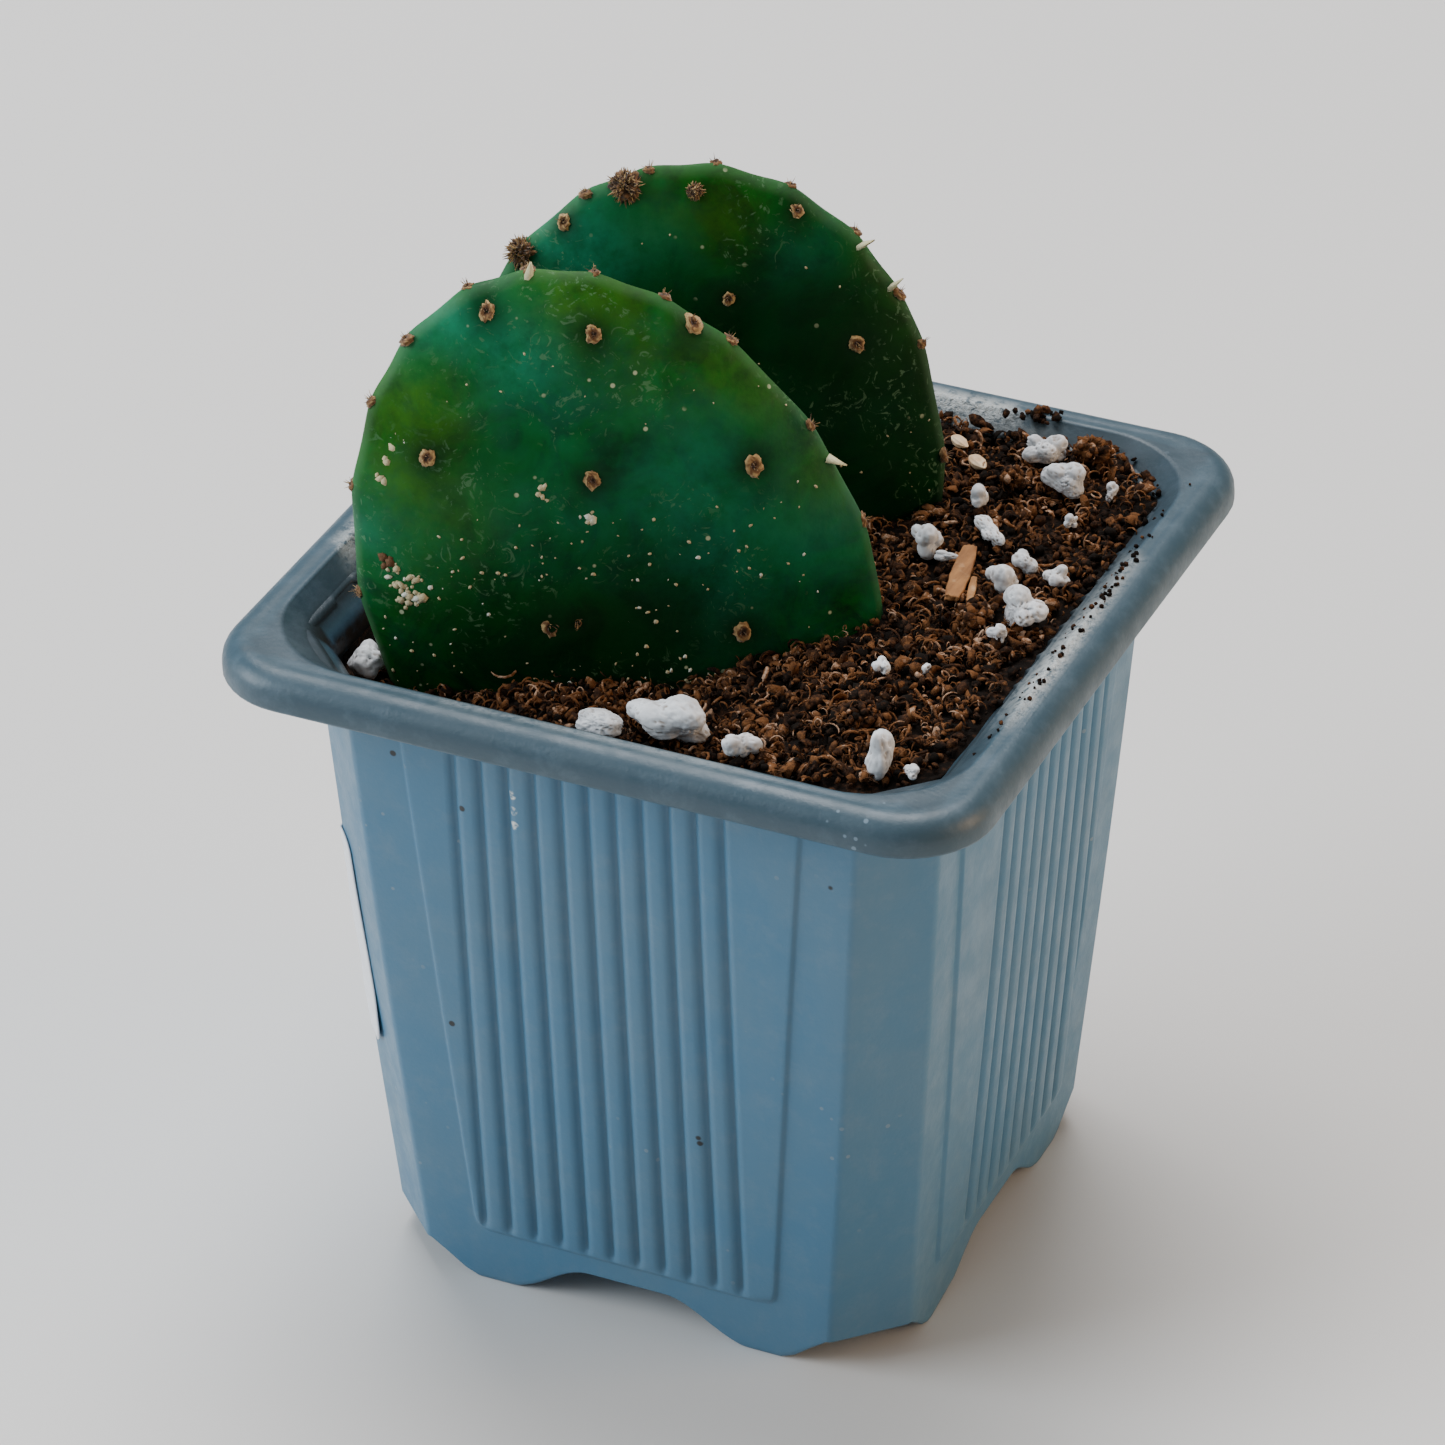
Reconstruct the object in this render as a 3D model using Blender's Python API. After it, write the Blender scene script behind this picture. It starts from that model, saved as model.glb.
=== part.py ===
"""Potted paddle cactus: two cactus pads rooted in a small square plastic nursery pot.

The origin is the middle of the pot's base, +Z is up, the pot's fluted sides face +-X and +-Y, and
everything is in metres. The pot and the soil are cut by Booleans, the pads and the loose grains are
shaped from spheres.
"""

import math
import random

import bmesh
import bpy
from mathutils import Matrix, Vector

MM = 0.001
OVERCUT = 1.0 * MM  # how far a cutter passes the face it cuts through
NEAR = 0.01 * MM

# Pot
RIM_WIDTH = 60.0 * MM
POT_HEIGHT = 56.3 * MM
RIM_DEPTH = 2.8 * MM
RIM_CORNER = 6.8 * MM
RIM_ROUNDING = 1.7 * MM
LIP_WIDTH = 53.7 * MM
LIP_CORNER = 8.2 * MM
ROLL_WALL = 1.1 * MM
ROLL_HOLLOW = 1.5 * MM
ROLL_ROOF = 1.3 * MM
BODY_TOP = 49.7 * MM
BODY_BOTTOM = 42.2 * MM
CORNER_LEG = 4.65 * MM
FACET_SHARE = 0.6  # how much a corner facet's leg changes with an offset of the walls
BODY_SUNK = 0.8 * MM
WALL = 1.0 * MM
FLARE_DEPTH = 3.2 * MM
THROAT_STEP = 0.4 * MM
FLOOR_LOW = 3.4 * MM
FLOOR_TOP = 4.6 * MM

# Fluted panels
PANEL_TOP_WIDTH = 32.4 * MM
PANEL_BOTTOM_WIDTH = 25.0 * MM
PANEL_FOOT = 5.0 * MM
PANEL_PROUD = 0.25 * MM
PANEL_CORNER = 1.2 * MM
PANEL_OVERLAP = 0.5 * MM
# Number, pitch and middle of the flutes, for the -Y and +Y sides and then for the +X and -X sides
FLUTES = ((11, 2.13 * MM, -0.98 * MM), (10, 2.2 * MM, 2.95 * MM))
FLUTE_SIDE = 0.55 * MM
FLUTE_DEPTH = 0.21 * MM
FLUTE_PAST_RIM = 0.3 * MM

# Feet
ARCH_HEIGHT = 3.2 * MM
ARCH_TOP_WIDTH = 8.0 * MM
ARCH_FOOT_WIDTH = 18.6 * MM
CORNER_CUT_IN = 24.4 * MM
CORNER_CUT_OUT = 26.9 * MM
WEDGE_LENGTH = 24.0 * MM
WEDGE_DEPTH = 10.0 * MM

# Drain holes
DRAIN_MIDDLE = 7.0 * MM
DRAIN_CORNER = 5.0 * MM
DRAIN_SPACING = 20.0 * MM
DRAIN_CUT = 6.0 * MM

# Label
LABEL_LOW = 18.6 * MM
LABEL_HIGH = 37.2 * MM
LABEL_THICK = 0.2 * MM
LABEL_BACK = 10.0 * MM
LABEL_WRAP = 2.4 * MM
LABEL_CORNER = 1.5 * MM
LABEL_CUT = 5.0 * MM

# Soil
GAP = 0.3 * MM
SOIL_LEVEL = 54.4 * MM
SOIL_RISE = (0.015, 0.03)
SOIL_CELLS = 22
SOIL_SHOULDER = 53.0 * MM
SOIL_EDGE = 0.3 * MM
SOIL_DIPS = (
    (-20.0 * MM, -18.0 * MM, 11.0 * MM, 3.6 * MM),
    (0.0 * MM, -12.0 * MM, 7.0 * MM, 2.2 * MM),
    (5.0 * MM, -20.0 * MM, 6.0 * MM, 1.3 * MM),
    (-24.0 * MM, 4.0 * MM, 9.0 * MM, 1.6 * MM),
)
SOIL_RIPPLE = 0.3 * MM
RIPPLE_LENGTH = 14.0 * MM

# Pads: a point of the pad's middle plane, its turn about Z, its lean back, and its outline there
FRONT_PAD = {
    "foot": (-3.2 * MM, -9.9 * MM, 50.0 * MM),
    "turn": 28.0,
    "lean": 6.0,
    "centre": (-2.1 * MM, 8.7 * MM),
    "half_width": 18.2 * MM,
    "up": 24.8 * MM,
    "down": 26.3 * MM,
    "taper": -0.07,
    "tilt": 21.3,
    "half_thick": 3.9 * MM,
}
REAR_PAD = {
    "foot": (9.7 * MM, 14.4 * MM, 55.1 * MM),
    "turn": 24.0,
    "lean": 4.0,
    "centre": (-17.7 * MM, -0.4 * MM),
    "half_width": 18.4 * MM,
    "up": 27.8 * MM,
    "down": 19.5 * MM,
    "taper": 0.09,
    "tilt": 1.2,
    "half_thick": 3.6 * MM,
}
PAD_SEGMENTS = 40
PAD_RINGS = 14
PAD_CROWN = 3.0
PAD_EDGE = 0.62

# Loose grains on the soil: place, then width, depth and height, and the turn about Z
PERLITE = (
    ((-21.8, -18.0), (2.9, 2.6, 2.2), 20),
    ((-0.4, -22.7), (4.2, 2.4, 1.6), 10),
    ((4.2, -20.4), (7.2, 4.0, 2.6), -8),
    ((10.1, -22.1), (2.6, 2.2, 1.9), 35),
    ((20.3, -20.8), (2.6, 2.4, 2.9), 12),
    ((22.5, -20.5), (1.3, 1.2, 0.7), 0),
    ((12.2, 7.3), (2.4, 2.8, 1.8), 50),
    ((14.2, 6.3), (1.9, 1.0, 0.6), 15),
    ((13.4, 14.4), (2.0, 2.0, 1.5), 40),
    ((15.7, 10.8), (3.3, 1.8, 1.4), -40),
    ((19.8, 7.5), (2.2, 1.7, 1.3), -35),
    ((19.2, 4.7), (2.7, 2.6, 1.8), 0),
    ((22.3, 0.9), (3.2, 3.4, 2.1), 25),
    ((21.8, -2.3), (1.8, 1.6, 1.0), 30),
    ((22.7, 6.7), (1.9, 1.7, 1.2), 10),
    ((15.7, 21.7), (3.4, 2.6, 1.9), 15),
    ((18.8, 18.3), (3.9, 3.0, 2.2), -20),
    ((22.0, 19.5), (1.1, 1.5, 1.0), 10),
    ((20.9, 14.0), (1.1, 1.1, 0.8), 0),
    ((15.6, -9.3), (1.5, 1.4, 1.0), 0),
    ((18.4, -8.0), (0.9, 0.9, 0.7), 0),
)
PEAT_LUMPS = (
    ((19.1, -0.6), (2.4, 2.0, 1.3), 20),
    ((14.6, 17.8), (1.6, 1.5, 1.2), 70),
    ((19.0, 23.3), (3.4, 1.8, 1.8), 10),
    ((16.2, -15.4), (3.0, 2.6, 1.4), 40),
)
HUSKS = (
    ((8.8, 21.7), (2.1, 1.0, 0.8), -35),
    ((11.2, 19.4), (2.2, 1.2, 0.9), -40),
)
BARK_CHIPS = (
    ((16.0, 4.4), (7.2, 1.5, 0.5), 102),
    ((17.6, 2.6), (3.4, 0.6, 0.4), 106),
)
PERLITE_ROUGH = 0.16
PEAT_ROUGH = 0.3
HUSK_ROUGH = 0.05
CHIP_NARROWING = 1.2

POT_BLUE = (0.085, 0.16, 0.23, 1.0)
PAD_GREEN = (0.02, 0.10, 0.03, 1.0)
PEAT_BROWN = (0.06, 0.03, 0.015, 1.0)
PERLITE_WHITE = (0.82, 0.82, 0.82, 1.0)
BARK_TAN = (0.30, 0.15, 0.05, 1.0)
PAPER_WHITE = (0.85, 0.85, 0.88, 1.0)
HUSK_BEIGE = (0.60, 0.45, 0.25, 1.0)


def make_material(name, colour, roughness):
    material = bpy.data.materials.new(name)
    material.use_nodes = True
    shader = material.node_tree.nodes["Principled BSDF"]
    shader.inputs["Base Color"].default_value = colour
    shader.inputs["Roughness"].default_value = roughness
    shader.inputs["Metallic"].default_value = 0.0
    return material


def new_collection(name):
    collection = bpy.data.collections.new(name)
    bpy.context.scene.collection.children.link(collection)
    return collection


def add_object(name, bm, collection, material=None):
    """Turns a bmesh into an object with outward normals."""
    bmesh.ops.recalc_face_normals(bm, faces=bm.faces[:])
    mesh = bpy.data.meshes.new(name)
    bm.to_mesh(mesh)
    bm.free()
    obj = bpy.data.objects.new(name, mesh)
    collection.objects.link(obj)
    if material:
        mesh.materials.append(material)
    else:
        obj.hide_render = True
        obj.display_type = "WIRE"
    return obj


def boolean(obj, other, operation="DIFFERENCE"):
    modifier = obj.modifiers.new(other.name, "BOOLEAN")
    modifier.operation = operation
    modifier.object = other
    modifier.solver = "EXACT"


def upright_edges(bm):
    """The edges that run from the bottom face to the top face of a block."""
    return [
        edge
        for edge in bm.edges
        if abs(edge.verts[0].co.z - edge.verts[1].co.z) > NEAR
        and len(edge.link_faces) == 2
        and all(abs(face.normal.z) < 0.9 for face in edge.link_faces)
    ]


def tapered_block(bm, top_width, bottom_width, low, high, corner, segments=1):
    """A square block whose sides taper evenly and whose four upright edges are cut or rounded."""
    cube = bmesh.ops.create_cube(bm, size=1.0)["verts"]
    for vert in cube:
        width = top_width if vert.co.z > 0 else bottom_width
        level = high if vert.co.z > 0 else low
        vert.co = Vector((vert.co.x * width, vert.co.y * width, level))
    bm.normal_update()
    edges = upright_edges(bm)
    bmesh.ops.bevel(
        bm,
        geom=edges,
        offset=corner,
        affect="EDGES",
        segments=segments,
        profile=0.5,
        material=-1,
    )
    return bm


def body_half(z):
    """Half the width of the pot's outer wall at a height."""
    top = POT_HEIGHT - RIM_DEPTH
    return (BODY_BOTTOM + (BODY_TOP - BODY_BOTTOM) * z / top) / 2


def side_frames():
    """For each side, the frame on its sloping wall: X along it, Y into the wall, Z up it."""
    slope = math.atan2((BODY_TOP - BODY_BOTTOM) / 2, POT_HEIGHT - RIM_DEPTH)
    for quarter in range(4):
        turn = Matrix.Rotation(quarter * math.pi / 2, 4, "Z")
        base = Matrix.Translation((0, -BODY_BOTTOM / 2, 0))
        yield turn @ base @ Matrix.Rotation(slope, 4, "X")


def make_rim(cutters):
    bm = bmesh.new()
    low = POT_HEIGHT - RIM_DEPTH
    tapered_block(bm, RIM_WIDTH, RIM_WIDTH, low, POT_HEIGHT, RIM_CORNER, 6)
    top = [e for e in bm.edges if all(v.co.z > POT_HEIGHT - NEAR for v in e.verts)]
    bmesh.ops.bevel(
        bm,
        geom=top,
        offset=RIM_ROUNDING,
        affect="EDGES",
        segments=3,
        profile=0.5,
        material=-1,
    )
    rim = add_object("rim_block", bm, cutters)
    hollow = bmesh.new()
    width = RIM_WIDTH - 2 * ROLL_WALL
    high = POT_HEIGHT - ROLL_ROOF
    corner = RIM_CORNER - ROLL_WALL
    tapered_block(hollow, width, width, low - OVERCUT, high, corner, 6)
    hollow = add_object("rim_hollow", hollow, cutters)
    core = bmesh.new()
    width -= 2 * ROLL_HOLLOW
    corner -= ROLL_HOLLOW
    tapered_block(core, width, width, low - 2 * OVERCUT, high + OVERCUT, corner, 6)
    core = add_object("rim_core", core, cutters)
    boolean(hollow, core)
    boolean(rim, hollow)
    return rim


def make_cavity(cutters):
    """The space inside: a tapered well with a wider, rounded mouth."""
    well = bmesh.new()
    bottom = 2 * (body_half(FLOOR_TOP) - WALL)
    above = POT_HEIGHT + OVERCUT
    top = 2 * (body_half(above) - WALL)
    tapered_block(well, top, bottom, FLOOR_TOP, above, CORNER_LEG - FACET_SHARE * WALL)
    well = add_object("well", well, cutters)
    mouth = bmesh.new()
    throat = POT_HEIGHT - FLARE_DEPTH
    throat_width = 2 * (body_half(throat) - WALL) - THROAT_STEP
    slope = (LIP_WIDTH - throat_width) / 2 / FLARE_DEPTH
    above_width = LIP_WIDTH + 2 * slope * OVERCUT
    corner = LIP_CORNER * math.sqrt((1 + slope**2) / (1 + 2 * slope**2))
    tapered_block(mouth, above_width, throat_width, throat, above, corner, 6)
    mouth = add_object("mouth", mouth, cutters)
    return well, mouth


def make_panels(cutters):
    """The raised panel of each side, one slab each, let into the wall."""
    high = POT_HEIGHT - RIM_DEPTH + PANEL_OVERLAP
    panels = bmesh.new()
    for frame in side_frames():
        slab = bmesh.new()
        for vert in bmesh.ops.create_cube(slab, size=1.0)["verts"]:
            top = vert.co.z > 0
            width = PANEL_TOP_WIDTH if top else PANEL_BOTTOM_WIDTH
            depth = -PANEL_PROUD if vert.co.y < 0 else WALL / 2
            vert.co = Vector((vert.co.x * width, depth, high if top else PANEL_FOOT))
        feet = [e for e in slab.edges if all(v.co.z < PANEL_FOOT + NEAR for v in e.verts)]
        feet = [e for e in feet if abs(e.verts[0].co.y - e.verts[1].co.y) > NEAR]
        bmesh.ops.bevel(
            slab,
            geom=feet,
            offset=PANEL_CORNER,
            affect="EDGES",
            segments=3,
            profile=0.5,
            material=-1,
        )
        bmesh.ops.transform(slab, matrix=frame, verts=slab.verts[:])
        mesh = bpy.data.meshes.new("slab")
        slab.to_mesh(mesh)
        slab.free()
        panels.from_mesh(mesh)
        bpy.data.meshes.remove(mesh)
    return add_object("panels", panels, cutters)


def make_flutes(cutters):
    """The narrow V grooves of all four panels."""
    low = PANEL_FOOT - PANEL_OVERLAP
    high = POT_HEIGHT - RIM_DEPTH + FLUTE_PAST_RIM
    reach = FLUTE_SIDE / math.sqrt(2)
    away = -PANEL_PROUD - reach + FLUTE_DEPTH
    flutes = bmesh.new()
    for side, frame in enumerate(side_frames()):
        count, pitch, middle = FLUTES[side % 2]
        for flute in range(count):
            x = middle + (flute - (count - 1) / 2) * pitch
            place = Matrix.Translation((x, away, (low + high) / 2))
            shape = Matrix.Diagonal((FLUTE_SIDE, FLUTE_SIDE, high - low, 1))
            spin = Matrix.Rotation(math.pi / 4, 4, "Z")
            bmesh.ops.create_cube(flutes, size=1.0, matrix=frame @ place @ spin @ shape)
    return add_object("flutes", flutes, cutters)


def make_feet_cutters(cutters):
    """The arches that run under the pot both ways, and the wedges that lift its corners."""
    found = []
    for quarter, name in enumerate(("arch_y", "arch_x")):
        arch = bmesh.new()
        for vert in bmesh.ops.create_cube(arch, size=1.0)["verts"]:
            top = vert.co.z > 0
            slope = (ARCH_FOOT_WIDTH - ARCH_TOP_WIDTH) / ARCH_HEIGHT
            width = ARCH_TOP_WIDTH if top else ARCH_FOOT_WIDTH + slope * OVERCUT
            level = ARCH_HEIGHT if top else -OVERCUT
            vert.co = Vector((vert.co.x * width, vert.co.y * RIM_WIDTH, level))
        turn = Matrix.Rotation(quarter * math.pi / 2, 4, "Z")
        bmesh.ops.transform(arch, matrix=turn, verts=arch.verts[:])
        found.append(add_object(name, arch, cutters))
    corners = bmesh.new()
    slope = (CORNER_CUT_OUT - CORNER_CUT_IN) / FLOOR_LOW
    for quarter in range(4):
        turn = Matrix.Rotation(math.pi / 4 + quarter * math.pi / 2, 4, "Z")
        for vert in bmesh.ops.create_cube(corners, size=1.0)["verts"]:
            top = vert.co.z > 0
            inner = CORNER_CUT_OUT if top else CORNER_CUT_IN - slope * OVERCUT
            x = inner if vert.co.x < 0 else CORNER_CUT_OUT + WEDGE_DEPTH
            level = FLOOR_LOW if top else -OVERCUT
            vert.co = turn @ Vector((x, vert.co.y * WEDGE_LENGTH, level))
    found.append(add_object("corner_wedges", corners, cutters))
    return found


def make_drains(cutters):
    drains = bmesh.new()
    half = DRAIN_SPACING / 2
    places = [(0, 0, DRAIN_MIDDLE)]
    places += [(x, y, DRAIN_CORNER) for x in (-half, half) for y in (-half, half)]
    for x, y, width in places:
        bmesh.ops.create_cone(
            drains,
            cap_ends=True,
            segments=20,
            radius1=width / 2,
            radius2=width / 2,
            depth=DRAIN_CUT,
            matrix=Matrix.Translation((x, y, FLOOR_LOW)),
        )
    return add_object("drains", drains, cutters)


def make_pot(parts, cutters, material):
    bm = bmesh.new()
    high = POT_HEIGHT - BODY_SUNK
    tapered_block(bm, 2 * body_half(high), BODY_BOTTOM, 0.0, high, CORNER_LEG)
    pot = add_object("pot", bm, parts, material)
    boolean(pot, make_panels(cutters), "UNION")
    boolean(pot, make_flutes(cutters))
    boolean(pot, make_rim(cutters), "UNION")
    well, mouth = make_cavity(cutters)
    boolean(pot, well)
    boolean(pot, mouth)
    under = bmesh.new()
    top = 2 * (body_half(FLOOR_LOW) - WALL)
    below = 2 * (body_half(-OVERCUT) - WALL)
    tapered_block(under, top, below, -OVERCUT, FLOOR_LOW, CORNER_LEG - FACET_SHARE * WALL)
    boolean(pot, add_object("under_floor", under, cutters))
    for cutter in make_feet_cutters(cutters):
        boolean(pot, cutter)
    boolean(pot, make_drains(cutters))
    return pot


def make_label(parts, cutters, material):
    """A thin sheet that follows the -X wall and its front corner facet, a gap away from both."""
    sheet = bmesh.new()
    inner = bmesh.new()
    for bm, gap in ((sheet, GAP + LABEL_THICK), (inner, GAP)):
        stand = gap + PANEL_PROUD
        top = 2 * (body_half(POT_HEIGHT) + stand)
        bottom = 2 * (body_half(0) + stand)
        tapered_block(bm, top, bottom, 0.0, POT_HEIGHT, CORNER_LEG + FACET_SHARE * stand)
    label = add_object("label", sheet, parts, material)
    boolean(label, add_object("label_inside", inner, cutters))
    window = bmesh.new()
    middle = (LABEL_LOW + LABEL_HIGH) / 2
    corner = body_half(middle) - CORNER_LEG
    front = -(corner + LABEL_WRAP / math.sqrt(2))
    bmesh.ops.create_cube(window, size=1.0)
    size = (RIM_WIDTH / 2, LABEL_BACK - front, LABEL_HIGH - LABEL_LOW)
    bmesh.ops.scale(window, vec=size, verts=window.verts[:])
    centre = (-RIM_WIDTH / 4 - LABEL_CUT, (LABEL_BACK + front) / 2, middle)
    bmesh.ops.translate(window, vec=centre, verts=window.verts[:])
    across = [e for e in window.edges if abs(e.verts[0].co.x - e.verts[1].co.x) > NEAR]
    bmesh.ops.bevel(
        window,
        geom=across,
        offset=LABEL_CORNER,
        affect="EDGES",
        segments=3,
        profile=0.5,
        material=-1,
    )
    boolean(label, add_object("label_window", window, cutters), "INTERSECT")
    return label


def soil_height(x, y):
    """The soil's surface: it rises a little to the back and right, with dips and a slight ripple."""
    height = SOIL_LEVEL + SOIL_RISE[0] * x + SOIL_RISE[1] * y
    for cx, cy, radius, depth in SOIL_DIPS:
        height -= depth * math.exp(-((x - cx) ** 2 + (y - cy) ** 2) / radius**2)
    wave = 2 * math.pi / RIPPLE_LENGTH
    return height + SOIL_RIPPLE * math.sin(wave * x + 1.0) * math.sin(wave * y - 0.5)


def soil_half(z):
    """Half the width of the soil at a height: a gap inside the pot's wall and its flared mouth."""
    throat = POT_HEIGHT - FLARE_DEPTH
    straight = body_half(min(z, throat)) - WALL - THROAT_STEP / 2
    share = max(0.0, z - throat - 2 * GAP) / FLARE_DEPTH
    return straight + (LIP_WIDTH / 2 - straight) * share - GAP


def in_rounded_square(x, y, half, radius):
    """Draws a point in so that it lies inside a square with rounded corners."""
    over = Vector((abs(x) - half + radius, abs(y) - half + radius))
    if min(over) <= 0 or over.length <= radius:
        return x, y
    over *= radius / over.length
    inner = half - radius
    return math.copysign(inner + over.x, x), math.copysign(inner + over.y, y)


def let_down(bm, faces, level):
    """Extrudes faces down to a level, drawn in to the soil's width there."""
    made = bmesh.ops.extrude_face_region(bm, geom=faces)["geom"]
    for vert in [v for v in made if isinstance(v, bmesh.types.BMVert)]:
        low = min(level, vert.co.z - SOIL_EDGE)
        shrink = soil_half(low) / soil_half(vert.co.z)
        vert.co = Vector((vert.co.x * shrink, vert.co.y * shrink, low))
    return [f for f in made if isinstance(f, bmesh.types.BMFace)]


def make_soil(parts, material):
    """The plug: a square grid fitted to the flared mouth, let down to its shoulder and to the floor."""
    bm = bmesh.new()
    bmesh.ops.create_grid(bm, x_segments=SOIL_CELLS, y_segments=SOIL_CELLS, size=1.0)
    corner = LIP_CORNER / (LIP_WIDTH / 2)
    for vert in bm.verts:
        x, y = in_rounded_square(vert.co.x, vert.co.y, 1.0, corner)
        half = soil_half(soil_height(x * LIP_WIDTH / 2, y * LIP_WIDTH / 2))
        vert.co = Vector((x * half, y * half, soil_height(x * half, y * half)))
    shoulder = let_down(bm, bm.faces[:], SOIL_SHOULDER)
    floor = let_down(bm, shoulder, FLOOR_TOP + GAP)
    bmesh.ops.delete(bm, geom=shoulder, context="FACES_ONLY")
    bmesh.ops.dissolve_faces(bm, faces=floor, use_verts=True)
    return add_object("soil", bm, parts, material)


def pad_mesh(pad, swell):
    """A pad as a bmesh: a sphere drawn out to the pad's outline and flattened to a lens."""
    bm = bmesh.new()
    bmesh.ops.create_uvsphere(bm, u_segments=PAD_SEGMENTS, v_segments=PAD_RINGS, radius=1.0)
    tilt = Matrix.Rotation(math.radians(pad["tilt"]), 2)
    for vert in bm.verts:
        across, up, thick = vert.co
        spread = math.hypot(across, up)
        shell = max(0.0, 1 - spread**PAD_CROWN) ** PAD_EDGE
        sine = up / spread if spread > 0.001 else 0.0
        x = across * (pad["half_width"] + swell) * (1 + pad["taper"] * sine)
        z = up * ((pad["up"] if up > 0 else pad["down"]) + swell)
        x, z = tilt @ Vector((x, z))
        y = -math.copysign(shell, thick) * (pad["half_thick"] + swell)
        vert.co = Vector((x + pad["centre"][0], y, z + pad["centre"][1]))
    turn = Matrix.Rotation(math.radians(pad["turn"]), 4, "Z")
    lean = Matrix.Rotation(math.radians(-pad["lean"]), 4, "X")
    place = Matrix.Translation(pad["foot"]) @ turn @ lean
    bmesh.ops.transform(bm, matrix=place, verts=bm.verts[:])
    return bm


def make_pad(name, pad, soil, parts, cutters, material):
    made = add_object(name, pad_mesh(pad, 0.0), parts, material)
    boolean(soil, add_object(name + "_socket", pad_mesh(pad, GAP), cutters))
    return made


def make_grain(name, place, size, turn, rough, parts, material):
    """A lumpy grain from an icosphere, lying just clear of the soil under it."""
    dice = random.Random(name)
    bm = bmesh.new()
    bmesh.ops.create_icosphere(bm, subdivisions=2, radius=0.5)
    for vert in bm.verts:
        vert.co *= 1 + dice.uniform(-rough, 0)
    x, y = place[0] * MM, place[1] * MM
    wide, deep, tall = (side * MM for side in size)
    bmesh.ops.scale(bm, vec=(wide, deep, tall), verts=bm.verts[:])
    spin = Matrix.Rotation(math.radians(turn), 4, "Z")
    reach = max(wide, deep) / 2
    rest = max(
        soil_height(x + reach * math.cos(a) * share, y + reach * math.sin(a) * share)
        for share in (0.0, 0.5, 1.0)
        for a in (step * math.pi / 4 for step in range(8))
    )
    low = min(vert.co.z for vert in bm.verts)
    centre = Matrix.Translation((x, y, rest + GAP - low))
    bmesh.ops.transform(bm, matrix=centre @ spin, verts=bm.verts[:])
    made = add_object(name, bm, parts, material)
    made.data.shade_smooth()
    return made


def make_chip(name, place, size, turn, parts, material):
    """A flat sliver of bark with tapered ends."""
    bm = bmesh.new()
    bmesh.ops.create_cube(bm, size=1.0)
    bmesh.ops.subdivide_edges(bm, edges=bm.edges[:], cuts=2, use_grid_fill=True)
    long, wide, thick = (side * MM for side in size)
    for vert in bm.verts:
        narrow = 1 - CHIP_NARROWING * vert.co.x**2
        vert.co = Vector((vert.co.x * long, vert.co.y * wide * narrow, vert.co.z * thick))
    x, y = place[0] * MM, place[1] * MM
    spin = Matrix.Rotation(math.radians(turn), 4, "Z")
    along = spin @ Vector((long / 2, 0, 0))
    rest = max(soil_height(x + s * along.x, y + s * along.y) for s in (-1, -0.5, 0, 0.5, 1))
    centre = Matrix.Translation((x, y, rest + GAP + thick / 2))
    bmesh.ops.transform(bm, matrix=centre @ spin, verts=bm.verts[:])
    return add_object(name, bm, parts, material)


def main():
    for obj in list(bpy.data.objects):
        bpy.data.objects.remove(obj, do_unlink=True)
    parts = new_collection("potted_paddle_cactus")
    cutters = new_collection("cutters")

    plastic = make_material("pot_plastic", POT_BLUE, 0.5)
    paper = make_material("label_paper", PAPER_WHITE, 0.6)
    peat = make_material("peat", PEAT_BROWN, 0.95)
    flesh = make_material("pad_skin", PAD_GREEN, 0.45)
    perlite = make_material("perlite", PERLITE_WHITE, 0.9)
    bark = make_material("bark", BARK_TAN, 0.85)
    husk = make_material("husk", HUSK_BEIGE, 0.7)

    make_pot(parts, cutters, plastic)
    make_label(parts, cutters, paper)
    soil = make_soil(parts, peat)
    for name, pad in (("pad_front", FRONT_PAD), ("pad_rear", REAR_PAD)):
        made = make_pad(name, pad, soil, parts, cutters, flesh)
        made.data.shade_smooth()
    for stem, grains, rough, material in (
        ("perlite", PERLITE, PERLITE_ROUGH, perlite),
        ("peat_lump", PEAT_LUMPS, PEAT_ROUGH, peat),
        ("husk", HUSKS, HUSK_ROUGH, husk),
    ):
        for number, (place, size, turn) in enumerate(grains, 1):
            name = f"{stem}_{number:02d}"
            make_grain(name, place, size, turn, rough, parts, material)
    for number, (place, size, turn) in enumerate(BARK_CHIPS, 1):
        make_chip(f"bark_chip_{number:02d}", place, size, turn, parts, bark)


main()
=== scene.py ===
"""Looks of the potted paddle cactus: two cactus pads rooted in a small square plastic nursery pot.

Everything is in metres, in the frame of the CAD model: the origin is the middle of the pot's base,
+Z is up, and the pot's fluted sides face +-X and +-Y.
"""

import math
import random

import bmesh
import bpy
from mathutils import Matrix, Vector, noise


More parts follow.
